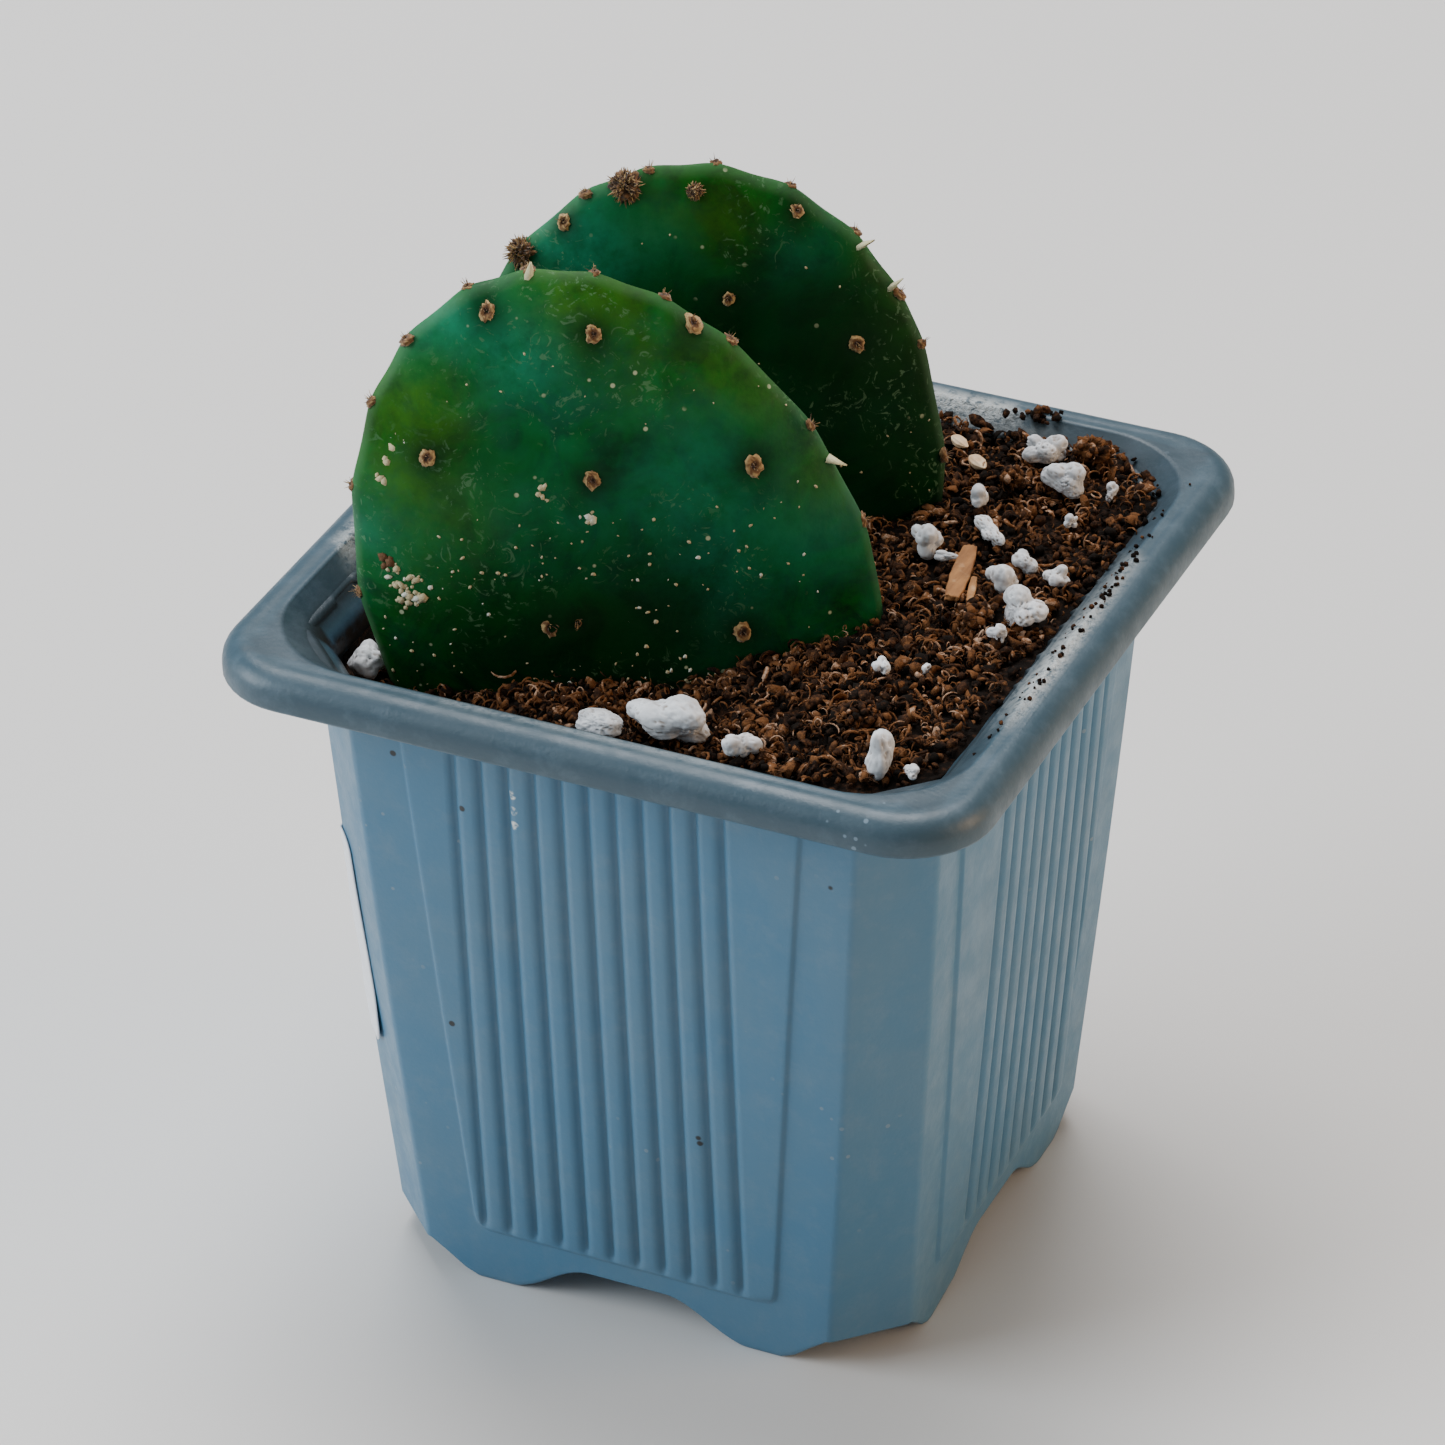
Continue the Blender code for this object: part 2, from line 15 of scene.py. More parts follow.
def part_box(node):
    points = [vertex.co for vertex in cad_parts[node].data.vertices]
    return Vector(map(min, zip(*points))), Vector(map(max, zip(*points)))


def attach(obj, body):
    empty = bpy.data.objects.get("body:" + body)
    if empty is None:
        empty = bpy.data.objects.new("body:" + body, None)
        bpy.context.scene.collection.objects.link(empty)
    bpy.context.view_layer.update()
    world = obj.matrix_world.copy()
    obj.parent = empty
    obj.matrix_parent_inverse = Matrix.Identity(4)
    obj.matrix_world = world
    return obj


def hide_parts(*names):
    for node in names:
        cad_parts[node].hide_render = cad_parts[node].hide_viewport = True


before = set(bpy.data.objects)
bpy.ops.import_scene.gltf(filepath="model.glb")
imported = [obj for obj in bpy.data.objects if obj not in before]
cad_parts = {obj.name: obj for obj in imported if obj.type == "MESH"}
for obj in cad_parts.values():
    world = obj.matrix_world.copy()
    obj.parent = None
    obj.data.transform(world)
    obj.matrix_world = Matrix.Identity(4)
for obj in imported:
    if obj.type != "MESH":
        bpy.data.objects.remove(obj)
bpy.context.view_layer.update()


# ---------------------------------------------------------------------------
# Pot: one thin injection moulding in blue-grey polypropylene. The wall tapers, has a fluted raised panel on
# each side and a facet at each corner, stands on eight foot lobes, and turns over into a rolled rim.

MM = 0.001
POT_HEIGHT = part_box("pot")[1].z
RIM_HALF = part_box("pot")[1].x
RIM_DEPTH = 2.8 * MM
RIM_ROUND = 1.8 * MM
RIM_CORNER = 6.75 * MM
LIP_HALF = 26.86 * MM
LIP_CORNER = 8.2 * MM
LIP_ROUND = 0.45 * MM
WALL = 1.0 * MM
WALL_TOP_HALF = 24.85 * MM
WALL_FOOT_HALF = 21.1 * MM
WALL_BULGE = 0.15 * MM
CORNER_LEG = 4.65 * MM
EDGE_ROUND = 0.9 * MM
FLOOR_LOW = 3.4 * MM
FLOOR_TOP = 4.6 * MM
PANEL_FOOT = 5.0 * MM
PANEL_FOOT_HALF = 12.5 * MM
PANEL_SPREAD = 0.0757
PANEL_CORNER = 1.3 * MM
PANEL_PROUD = 0.25 * MM
PANEL_STEP = 0.3 * MM
FLUTE_WIDTH = 0.26 * MM
FLUTE_DEPTH = 0.4 * MM
RIB_CROWN = 0.09 * MM
FLUTE_PITCH = (2.13 * MM, 2.2 * MM)
FLUTE_COUNT = (11, 10)
FLUTE_MIDDLE = (-0.98 * MM, 2.95 * MM)
ARCH_HEIGHT = 3.2 * MM
CORNER_LIFT = 3.0 * MM
FOOT_ROW = 4.2 * MM
FOOT_SHARES = (0.05, 0.15, 0.35, 0.6, 0.85, 1.0)
WALL_ROWS = (
    4.5, 4.8, 5.0, 5.12, 5.25, 5.4, 5.6, 5.9, 6.3, 7, 8, 10, 13, 17, 22, 27, 32, 37, 42, 46, 50, 52.5,
)
INNER_ROWS = (48, 40, 30, 20, 10, 5.4, 4.9, 4.65)
RIM_WALL = 1.1 * MM
RIM_HOLLOW = 1.25 * MM
RIM_EDGE_STEPS = ((1.1, 0.2), (0.95, 0.0), (0.3, 0.0), (0.1, 0.08), (0.0, 0.3))
RIM_DISH = 0.06 * MM
THROAT = POT_HEIGHT - 3.2 * MM
THROAT_CORNER = 2.2 * MM
INNER_CORNER = 1.2 * MM
ROUND_LEG = 2 - math.sqrt(2)
QUARTERS = (0.25, 0.5, 0.75, 1.0)
CORNER_STEPS = 5


def ease(low, high, value):
    """0 below low, 1 above high, and a smooth step between them."""
    share = min(1.0, max(0.0, (value - low) / (high - low)))
    return share * share * (3 - 2 * share)


def clamp(value, low=0.0, high=1.0):
    return max(low, min(high, value))


def wall_half(z):
    """Half the width over the pot's outer wall at a height."""
    share = z / (POT_HEIGHT - RIM_DEPTH)
    bulge = WALL_BULGE * math.sin(math.pi * min(1.0, max(0.0, share)))
    return WALL_FOOT_HALF + (WALL_TOP_HALF - WALL_FOOT_HALF) * share + bulge


def panel_half(z):
    return PANEL_FOOT_HALF + PANEL_SPREAD * max(0.0, z - PANEL_FOOT)


def flute_places(side):
    """The flutes of one side, as distances along it."""
    kind = side % 2
    first = FLUTE_MIDDLE[kind] - FLUTE_PITCH[kind] * (FLUTE_COUNT[kind] - 1) / 2
    return [first + FLUTE_PITCH[kind] * flute for flute in range(FLUTE_COUNT[kind])]


def wall_relief(side, x, z):
    """How far the moulded panel, its ribs and its flutes stand out of the plain wall."""
    beside = panel_half(z) - abs(x)
    above = z - PANEL_FOOT
    inside = min(beside, above)
    if beside < PANEL_CORNER and above < PANEL_CORNER:
        inside = PANEL_CORNER - math.hypot(PANEL_CORNER - beside, PANEL_CORNER - above)
    if inside <= 0:
        return 0.0
    relief = PANEL_PROUD * ease(0, PANEL_STEP, inside)
    fade = ease(0, 1.2 * MM, above)
    places = flute_places(side)
    near = min(abs(x - place) for place in places)
    relief -= FLUTE_DEPTH * fade * math.exp(-((near / FLUTE_WIDTH) ** 2))
    if places[0] < x < places[-1]:
        relief += RIB_CROWN * fade * math.sin(math.pi * near / FLUTE_PITCH[side % 2])
    return relief


def foot_line(x):
    """Height of the wall's lower edge: an arch in the middle, a lobe on each side, and a lifted corner."""
    away = abs(x)
    arch = ARCH_HEIGHT * (1 - ease(3.2 * MM, 9.9 * MM, away))
    return arch + CORNER_LIFT * ease(12.4 * MM, 17.4 * MM, away)


def side_columns(side, half, leg, radius, z):
    """Where the mesh's upright lines cross one straight side, from left to right."""
    end = half - leg - math.tan(math.pi / 8) * radius
    edge = min(panel_half(z), end - 1.2 * MM)
    xs = []
    for place in flute_places(side):
        for step in (-0.8, -0.45, -0.22, 0.0, 0.22, 0.45, 0.8):
            xs.append(place + step * MM)
    for hand in (-1, 1):
        for inset in (0.55, 0.35, 0.22, 0.1, 0.0, -0.12):
            xs.append(hand * (edge - inset * MM))
        for share in (0.3, 0.65, 1.0):
            xs.append(hand * (edge + (end - edge) * share))
    return sorted(max(-end, min(end, x)) for x in xs)


def ring_points(half, leg, radius, z, relief, foot):
    """One closed loop of points round the pot: four straight sides and four faceted, rounded corners."""

    def settled(x):
        """The row's height at a place along the side, and how far the taper moves it there."""
        if foot is None:
            return z, 0.0
        low = foot_line(x)
        level = low + (FOOT_ROW - low) * foot
        return level, wall_half(level) - wall_half(z)

    def bend(centre, start, steps):
        """Points on the arc round a centre, from a bearing on, through an eighth of a turn."""
        bearings = [math.radians(start + 45 * step / CORNER_STEPS) for step in steps]
        return [centre + radius * Vector((math.cos(angle), math.sin(angle), 0)) for angle in bearings]

    points = []
    inner = half - leg - math.tan(math.pi / 8) * radius
    first = Vector((inner, -half + radius, 0))
    last = Vector((half - radius, -inner, 0))
    for side in range(4):
        turn = Matrix.Rotation(side * math.pi / 2, 3, "Z")
        flat = []
        for x in side_columns(side, half, leg, radius, z):
            level, shift = settled(x)
            out = wall_relief(side, x, level) if relief else 0.0
            flat.append(Vector((x, -(half + shift + out), level)))
        corner = bend(first, -90, range(1, CORNER_STEPS + 1))
        start = corner[-1]
        close = last + radius * Vector((math.cos(math.pi / 4), -math.sin(math.pi / 4), 0))
        corner += [start.lerp(close, share) for share in QUARTERS]
        corner += bend(last, -45, range(1, CORNER_STEPS))
        level, shift = settled(inner)
        grow = 1 + shift / half
        flat += [Vector((p.x * grow, p.y * grow, level)) for p in corner]
        points += [turn @ point for point in flat]
    return points


def pot_profile():
    """The loops from the middle of the floor's underside, over the rim, to the middle of the floor."""
    rows = []

    def row(half, leg, radius, z, relief=False, foot=None):
        rows.append((half, leg, radius, z, relief, foot))

    def round_row(half, radius, z):
        row(half, radius * ROUND_LEG, radius, z)

    leg_in = CORNER_LEG - ROUND_LEG * WALL
    high = POT_HEIGHT
    under = wall_half(FLOOR_LOW) - WALL
    row(under * 0.9, leg_in, EDGE_ROUND, FLOOR_LOW)
    row(under - 0.3 * MM, leg_in, EDGE_ROUND, FLOOR_LOW)
    row(under, leg_in, EDGE_ROUND, FLOOR_LOW - 0.05 * MM)
    base = wall_half(FOOT_ROW)
    row(base - WALL, leg_in, EDGE_ROUND, FOOT_ROW, False, 0.06)
    row(base - WALL + 0.12 * MM, leg_in, EDGE_ROUND, FOOT_ROW, False, 0.0)
    row(base - 0.15 * MM, CORNER_LEG, EDGE_ROUND, FOOT_ROW, False, 0.0)
    for foot in FOOT_SHARES:
        row(base, CORNER_LEG, EDGE_ROUND, FOOT_ROW, True, foot)
    for z in WALL_ROWS:
        row(wall_half(z * MM), CORNER_LEG, EDGE_ROUND, z * MM, True)
    ceiling = high - RIM_HOLLOW
    roll = RIM_CORNER - RIM_WALL
    row(wall_half(ceiling), CORNER_LEG, EDGE_ROUND, ceiling - 0.4 * MM, True)
    row(WALL_TOP_HALF + 0.5 * MM, CORNER_LEG, EDGE_ROUND * 1.5, ceiling)
    round_row(RIM_HALF - 1.5 * MM, roll, ceiling)
    round_row(RIM_HALF - RIM_WALL, roll, ceiling - 0.3 * MM)
    for inset, lift in RIM_EDGE_STEPS:
        round_row(RIM_HALF - inset * MM, RIM_CORNER - inset * MM, high - RIM_DEPTH + lift * MM)
    for step in range(9):
        angle = math.pi / 2 * step / 8
        inset = RIM_ROUND * (1 - math.cos(angle))
        round_row(RIM_HALF - inset, RIM_CORNER - inset, high - RIM_ROUND + RIM_ROUND * math.sin(angle))
    outer = RIM_HALF - RIM_ROUND
    for share in QUARTERS:
        radius = RIM_CORNER - RIM_ROUND + (LIP_CORNER - RIM_CORNER + RIM_ROUND) * share
        dish = RIM_DISH * math.sin(math.pi * share)
        round_row(outer + (LIP_HALF + LIP_ROUND - outer) * share, radius, high - dish)
    for step in range(1, 6):
        angle = math.radians(62) * step / 5
        half = LIP_HALF + LIP_ROUND * (1 - math.sin(angle))
        round_row(half, LIP_CORNER, high - LIP_ROUND * (1 - math.cos(angle)))
    throat_half = wall_half(THROAT) - WALL - 0.1 * MM
    mouth = high - 0.3 * MM
    for share in QUARTERS:
        half = LIP_HALF + (throat_half - LIP_HALF) * share ** 0.8
        radius = LIP_CORNER * (1 - share) + THROAT_CORNER * share
        leg = LIP_CORNER * ROUND_LEG * (1 - share) + leg_in * share
        row(half, leg, radius, mouth + (THROAT - mouth) * share)
    for z in INNER_ROWS:
        row(wall_half(z * MM) - WALL, leg_in, INNER_CORNER, z * MM)
    well = wall_half(FLOOR_TOP) - WALL
    row(well - 0.4 * MM, leg_in, EDGE_ROUND, FLOOR_TOP)
    row(well * 0.9, leg_in, EDGE_ROUND, FLOOR_TOP)
    return rows


def bare_mesh(name, bm):
    mesh = bpy.data.meshes.new(name)
    bm.to_mesh(mesh)
    bm.free()
    return mesh


def mesh_object(name, bm, smooth=True):
    """A bmesh made into an object at the origin, shaded smooth or flat."""
    mesh = bare_mesh(name, bm)
    obj = bpy.data.objects.new(name, mesh)
    bpy.context.scene.collection.objects.link(obj)
    mesh.polygons.foreach_set("use_smooth", [smooth] * len(mesh.polygons))
    return obj


def point_values(obj, name, values):
    """Stores one number for each vertex, for the material to read."""
    layer = obj.data.attributes.new(name, "FLOAT", "POINT")
    layer.data.foreach_set("value", values)


def apply_modifiers(obj):
    graph = bpy.context.evaluated_depsgraph_get()
    mesh = bpy.data.meshes.new_from_object(obj.evaluated_get(graph))
    obj.modifiers.clear()
    obj.data = mesh


DRAIN_HOLES = ((0, 0, 7), (-10, -10, 5), (10, -10, 5), (-10, 10, 5), (10, 10, 5))
MOUTH_LOW = 53.8
MOUTH_HIGH = 55.9

loops = [ring_points(*row) for row in pot_profile()]
around = len(loops[0])
bm = bmesh.new()
bmesh.ops.create_grid(bm, x_segments=around, y_segments=len(loops) - 1, size=1.0)
for vert in bm.verts:
    column = round((vert.co.x + 1) / 2 * around) % around
    row = round((vert.co.y + 1) / 2 * (len(loops) - 1))
    vert.co = loops[row][column]
bmesh.ops.remove_doubles(bm, verts=bm.verts[:], dist=0.001 * MM)
bmesh.ops.holes_fill(bm, edges=[e for e in bm.edges if e.is_boundary], sides=0)
bmesh.ops.recalc_face_normals(bm, faces=bm.faces[:])
pot = mesh_object("pot_shell", bm)

bm = bmesh.new()
for x, y, width in DRAIN_HOLES:
    bmesh.ops.create_cone(
        bm, cap_ends=True, segments=32, radius1=width / 2 * MM, radius2=width / 2 * MM, depth=5 * MM,
        matrix=Matrix.Translation((x * MM, y * MM, FLOOR_LOW)),
    )
drills = mesh_object("drain_drills", bm, False)
drain = pot.modifiers.new("drain holes", "BOOLEAN")
drain.object = drills
drain.solver = "EXACT"
apply_modifiers(pot)
bpy.data.objects.remove(drills)

# Scuffs and painted glints of light gather on the inner lip, most at the front right corner and
# along the -X side.
lip_scuff_and_glint = []
for vert in pot.data.vertices:
    x, y, z = (value / MM for value in vert.co)
    reach = max(abs(x), abs(y), (abs(x) + abs(y)) / math.sqrt(2) + 0.6)
    band = ease(POT_HEIGHT / MM - 1.6, POT_HEIGHT / MM - 0.2, z) * (1 - ease(27.2, 28.6, reach))
    corner = math.exp(-(((x - 23.5) / 6.5) ** 2) - ((y + 24) / 6.5) ** 2)
    right = 0.75 * ease(20, 25, x) * math.exp(-(((y + 8) / 14) ** 2))
    left = 0.8 * ease(20, 25, -x) * math.exp(-(((y - 4) / 15) ** 2))
    back = 0.6 * ease(20, 25, y) * math.exp(-(((x - 6) / 12) ** 2))
    lip_scuff_and_glint.append(band * min(1.0, 0.14 + corner * 2.2 + right + left + back))
point_values(pot, "lip_scuff_and_glint", lip_scuff_and_glint)

# Painted shade, with some wet peat stain, darkens the inside of the wall and runs up into the
# flared mouth; the rim is painted a darker grey, as shade.
inner_shade_and_stain = []
for vert in pot.data.vertices:
    x, y, z = (value / MM for value in vert.co)
    half = wall_half(vert.co.z) / MM - 0.55
    inside = max(abs(x), abs(y)) < half and abs(x) + abs(y) < 2 * half - CORNER_LEG / MM + 0.3
    mouth = max(abs(x), abs(y)) < 27.0 and z > MOUTH_LOW + 0.1
    darkened = mouth or (inside and z > FLOOR_TOP / MM - 0.1)
    inner_shade_and_stain.append(1.0 - 0.75 * ease(MOUTH_LOW, MOUTH_HIGH, z) if darkened else 0.0)
point_values(pot, "inner_shade_and_stain", inner_shade_and_stain)
# Painted shade: the rim, from the foot of its skirt up, is darkened towards a dark blue-grey.
rim_painted_shade = [ease(MOUTH_LOW - 0.6, MOUTH_LOW, vert.co.z / MM) for vert in pot.data.vertices]
point_values(pot, "rim_painted_shade", rim_painted_shade)


class Shader:
    """A material under construction: short calls that add nodes and join them to the Principled BSDF."""

    def __init__(self, name, roughness=0.5, **fixed):
        self.material = bpy.data.materials.new(name)
        self.material.use_nodes = True
        self.tree = self.material.node_tree
        self.bsdf = self.tree.nodes["Principled BSDF"]
        self.bsdf.inputs["Roughness"].default_value = roughness
        for socket, value in fixed.items():
            self.bsdf.inputs[socket.replace("_", " ")].default_value = value
        self.place = self.node("ShaderNodeTexCoord").outputs["Object"]

    def node(self, kind, **settings):
        made = self.tree.nodes.new(kind)
        for key, value in settings.items():
            setattr(made, key, value)
        return made

    def join(self, source, target):
        if isinstance(source, (int, float, tuple)):
            target.default_value = source
        else:
            self.tree.links.new(source, target)

    def stretch(self, scale):
        mapping = self.node("ShaderNodeMapping")
        mapping.inputs["Scale"].default_value = scale
        self.join(self.place, mapping.inputs["Vector"])
        return mapping.outputs["Vector"]

    def noise(self, scale, detail=3.0, rough=0.55, warp=0.0, where=None):
        made = self.node("ShaderNodeTexNoise")
        made.inputs["Scale"].default_value = scale
        made.inputs["Detail"].default_value = detail
        made.inputs["Roughness"].default_value = rough
        made.inputs["Distortion"].default_value = warp
        self.join(where or self.place, made.inputs["Vector"])
        return made.outputs["Fac"]

    def cells(self, scale):
        made = self.node("ShaderNodeTexVoronoi")
        made.inputs["Scale"].default_value = scale
        self.join(self.place, made.inputs["Vector"])
        return made.outputs["Distance"]

    def value(self, name):
        return self.node("ShaderNodeAttribute", attribute_name=name).outputs["Fac"]

    def ramp(self, source, low, high, start=0.0, end=1.0):
        """Maps low..high to start..end smoothly, and holds it outside them."""
        made = self.node("ShaderNodeMapRange", interpolation_type="SMOOTHSTEP")
        self.join(source, made.inputs["Value"])
        for socket, number in zip(("From Min", "From Max", "To Min", "To Max"), (low, high, start, end)):
            made.inputs[socket].default_value = number
        return made.outputs["Result"]

    def math(self, operation, first, second):
        made = self.node("ShaderNodeMath", operation=operation)
        self.join(first, made.inputs[0])
        self.join(second, made.inputs[1])
        return made.outputs["Value"]

    def times(self, first, second):
        return self.math("MULTIPLY", first, second)

    def uneven(self, name, grain, gain, less):
        """A stored value, raised and lowered by a noise: value + grain * gain - less."""
        return self.math("ADD", self.value(name), self.math("SUBTRACT", self.times(grain, gain), less))

    def blend(self, share, first, second):
        made = self.node("ShaderNodeMix", data_type="RGBA")
        self.join(share, made.inputs["Factor"])
        self.join(first, made.inputs["A"])
        self.join(second, made.inputs["B"])
        return made.outputs["Result"]

    def spots(self, places, radius):
        """1 inside any of a few round spots, given in millimetres, with soft edges."""
        total = 0.0
        for place in places:
            gap = self.node("ShaderNodeVectorMath", operation="DISTANCE")
            self.join(self.place, gap.inputs[0])
            gap.inputs[1].default_value = [value * MM for value in place]
            near = self.ramp(gap.outputs["Value"], radius * 0.6, radius, 1.0, 0.0)
            total = self.math("MAXIMUM", total, near)
        return total

    def colour(self, source):
        """The ground colour."""
        self.tone = source
        self.join(source, self.bsdf.inputs["Base Color"])

    def coat(self, share, colour):
        """Another colour over those already there, as far as its share says."""
        self.colour(self.blend(share, self.tone, colour))

    def paint(self, pieces):
        for piece in pieces:
            piece.data.materials.append(self.material)

    def roughness(self, source):
        self.join(source, self.bsdf.inputs["Roughness"])

    def bump(self, height, distance, strength=1.0):
        """Adds one layer of fine relief over the layers already there."""
        made = self.node("ShaderNodeBump")
        made.inputs["Distance"].default_value = distance
        made.inputs["Strength"].default_value = strength
        self.join(height, made.inputs["Height"])
        if self.bsdf.inputs["Normal"].is_linked:
            self.join(self.bsdf.inputs["Normal"].links[0].from_socket, made.inputs["Normal"])
        self.join(made.outputs["Normal"], self.bsdf.inputs["Normal"])


PLASTIC_BLUE = (0.052, 0.160, 0.262, 1.0)
PLASTIC_GREY = (0.066, 0.166, 0.256, 1.0)
PLASTIC_RIM_SHADE = (0.030, 0.054, 0.066, 1.0)
SHADE_AND_STAIN_BROWN = (0.012, 0.010, 0.009, 1.0)
PLASTIC_DUSTY = (0.15, 0.22, 0.28, 1.0)
SCUFF_AND_GLINT_WHITE = (0.62, 0.64, 0.62, 1.0)
GRIT_DARK = (0.012, 0.014, 0.016, 1.0)
DARK_SPECKS = [
    (-16.5, -24.6, 48.6), (-11.0, -24.7, 45.3), (-9.4, -24.9, 48.5), (-13.1, -23.2, 24.8),
    (6.8, -22.8, 19.9), (6.9, -22.8, 19.4), (18.0, -24.2, 46.0),
]
PALE_SPECKS = [(-6.9, -24.8, 47.6), (-6.8, -24.6, 44.9), (-6.85, -24.7, 46.2)]

plastic = Shader("pot_plastic", 0.45)
cloudy = plastic.ramp(plastic.noise(110, 3), 0.35, 0.65)
plastic.colour(plastic.blend(cloudy, PLASTIC_BLUE, PLASTIC_GREY))
# Painted shade darkens the rim.
plastic.coat(plastic.times(plastic.value("rim_painted_shade"), 0.85), PLASTIC_RIM_SHADE)
film = plastic.ramp(plastic.noise(420, 5, 0.7), 0.45, 0.75)
plastic.coat(plastic.times(film, 0.22), PLASTIC_DUSTY)
streak = plastic.noise(260, 2, 0.5, 0.0, plastic.stretch((1.0, 1.0, 0.07)))
plastic.coat(plastic.ramp(streak, 0.62, 0.8, 0.0, 0.18), PLASTIC_DUSTY)
speckle = plastic.ramp(plastic.cells(700), 0.10, 0.16, 1.0, 0.0)
seldom = plastic.ramp(plastic.noise(90, 2), 0.60, 0.66)
plastic.coat(plastic.times(speckle, seldom), PLASTIC_DUSTY)
# Painted shade, with some peat stain, inside the pot and up its mouth, broken into patches.
shade_and_stain_patches = plastic.ramp(plastic.noise(380, 4, 0.7), 0.2, 0.55, 0.6, 1.0)
plastic.coat(plastic.times(plastic.value("inner_shade_and_stain"), shade_and_stain_patches), SHADE_AND_STAIN_BROWN)
# Painted white on the inner lip: real scuffs, and painted glints where the lip catches the light.
wear_and_glint = plastic.ramp(plastic.noise(1500, 4, 0.7), 0.30, 0.56)
plastic.coat(plastic.times(plastic.value("lip_scuff_and_glint"), wear_and_glint), SCUFF_AND_GLINT_WHITE)
plastic.coat(plastic.spots(DARK_SPECKS, 0.32 * MM), GRIT_DARK)
chalk = plastic.ramp(plastic.noise(1800), 0.4, 0.6)
plastic.coat(plastic.times(plastic.spots(PALE_SPECKS, 0.45 * MM), chalk), SCUFF_AND_GLINT_WHITE)
plastic.roughness(plastic.ramp(plastic.noise(300, 4, 0.7), 0.3, 0.7, 0.36, 0.52))
plastic.bump(plastic.noise(2600, 3, 0.6), 0.05 * MM, 0.5)
scratched = plastic.times(plastic.value("lip_scuff_and_glint"), plastic.noise(2200, 3, 0.7))
plastic.bump(scratched, 0.5 * MM, 0.9)
plastic.paint([pot])
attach(pot, "root")
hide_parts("pot")


# ---------------------------------------------------------------------------
# Pads: two flat, oval stem joints of a prickly pear, planted on edge. The flesh is firm and water-filled
# under a waxy skin: deep green with a bluish bloom and a painted bluish sheen, yellower at the margin,
# nicked and dusted with soil. Painted shade darkens them low down and round the areoles.

PAD_SEGMENTS = 288
PAD_RINGS = 100
PAD_CROWN = 3.0
PAD_EDGE = 0.62
TUBERCLE_HEIGHT = 0.3 * MM
TUBERCLE_RADIUS = 2.3 * MM
AREOLE_DIMPLE = 0.22 * MM
SCALLOP_ANGLE = 5.5
SCALLOP_SHARE = 0.013
WIDE_SWELL = (0.11, 0.10)
FINE_SWELL = (0.45, 0.015)


class Pad:
    """A pad's middle plane and outline: 'side' and 'rise' are distances in the plane, in millimetres."""

    def __init__(self, foot, turn, lean, centre, half_width, up, down, taper, tilt, half_thick, seed):
        self.centre = centre
        self.half_width = half_width
        self.up = up
        self.down = down
        self.taper = taper
        self.tilt = Matrix.Rotation(math.radians(tilt), 2)
        self.half_thick = half_thick
        self.seed = seed
        turned = Matrix.Rotation(math.radians(turn), 4, "Z")
        leaned = Matrix.Rotation(math.radians(-lean), 4, "X")
        self.matrix = Matrix.Translation(Vector(foot) * MM) @ turned @ leaned

    def outline(self, across, rise):
        """A point of the unit disc, moved to the pad's outline."""
        spread = math.hypot(across, rise)
        sine = rise / spread if spread > 0.001 else 0.0
        x = across * self.half_width * (1 + self.taper * sine)
        y = rise * (self.up if rise > 0 else self.down)
        x, y = self.tilt @ Vector((x, y))
        return x + self.centre[0], y + self.centre[1]

    def unit(self, side, rise):
        """The opposite of outline: a place in the plane as a point of the unit disc."""
        x, y = self.tilt.transposed() @ Vector((side - self.centre[0], rise - self.centre[1]))
        y /= self.up if y > 0 else self.down
        across = x / self.half_width
        for _ in range(3):
            spread = math.hypot(across, y)
            sine = y / spread if spread > 0.001 else 0.0
            across = x / self.half_width / (1 + self.taper * sine)
        return across, y

    def thickness(self, side, rise):
        """Half the pad's thickness at a place, in millimetres."""
        spread = min(1.0, math.hypot(*self.unit(side, rise)))
        return self.half_thick * (1 - spread ** PAD_CROWN) ** PAD_EDGE

    def swell(self, side, rise, kind, shift):
        pitch, share = kind
        return share * noise.noise(Vector((side * pitch, rise * pitch, self.seed + shift)))

    def depth(self, side, rise, face):
        """The same for one face, with its slow swells and fine unevenness."""
        wide = self.swell(side, rise, WIDE_SWELL, face * 3.0)
        fine = self.swell(side, rise, FINE_SWELL, face * 5.0)
        return self.thickness(side, rise) * (1 + wide + fine)

    def surface(self, side, rise, face=1):
        """A point on the pad's front (face 1) or back (face -1), and the direction straight out of it."""
        step = 0.3

        def spot(x, y):
            return Vector((x, -face * self.depth(x, y, face), y))

        here = spot(side, rise)
        right = spot(side + step, rise) - here
        above = spot(side, rise + step) - here
        out = right.cross(above).normalized() * face
        return self.matrix @ (here * MM), (self.matrix.to_3x3() @ out).normalized()


FRONT_PAD = Pad((-3.2, -9.9, 50.0), 28.0, 6.0, (-2.1, 8.7), 18.2, 24.8, 26.3, -0.07, 21.3, 3.9, 1.7)
REAR_PAD = Pad((9.7, 14.4, 55.1), 24.0, 4.0, (-17.7, -0.4), 18.4, 27.8, 19.5, 0.09, 1.2, 3.6, 8.3)

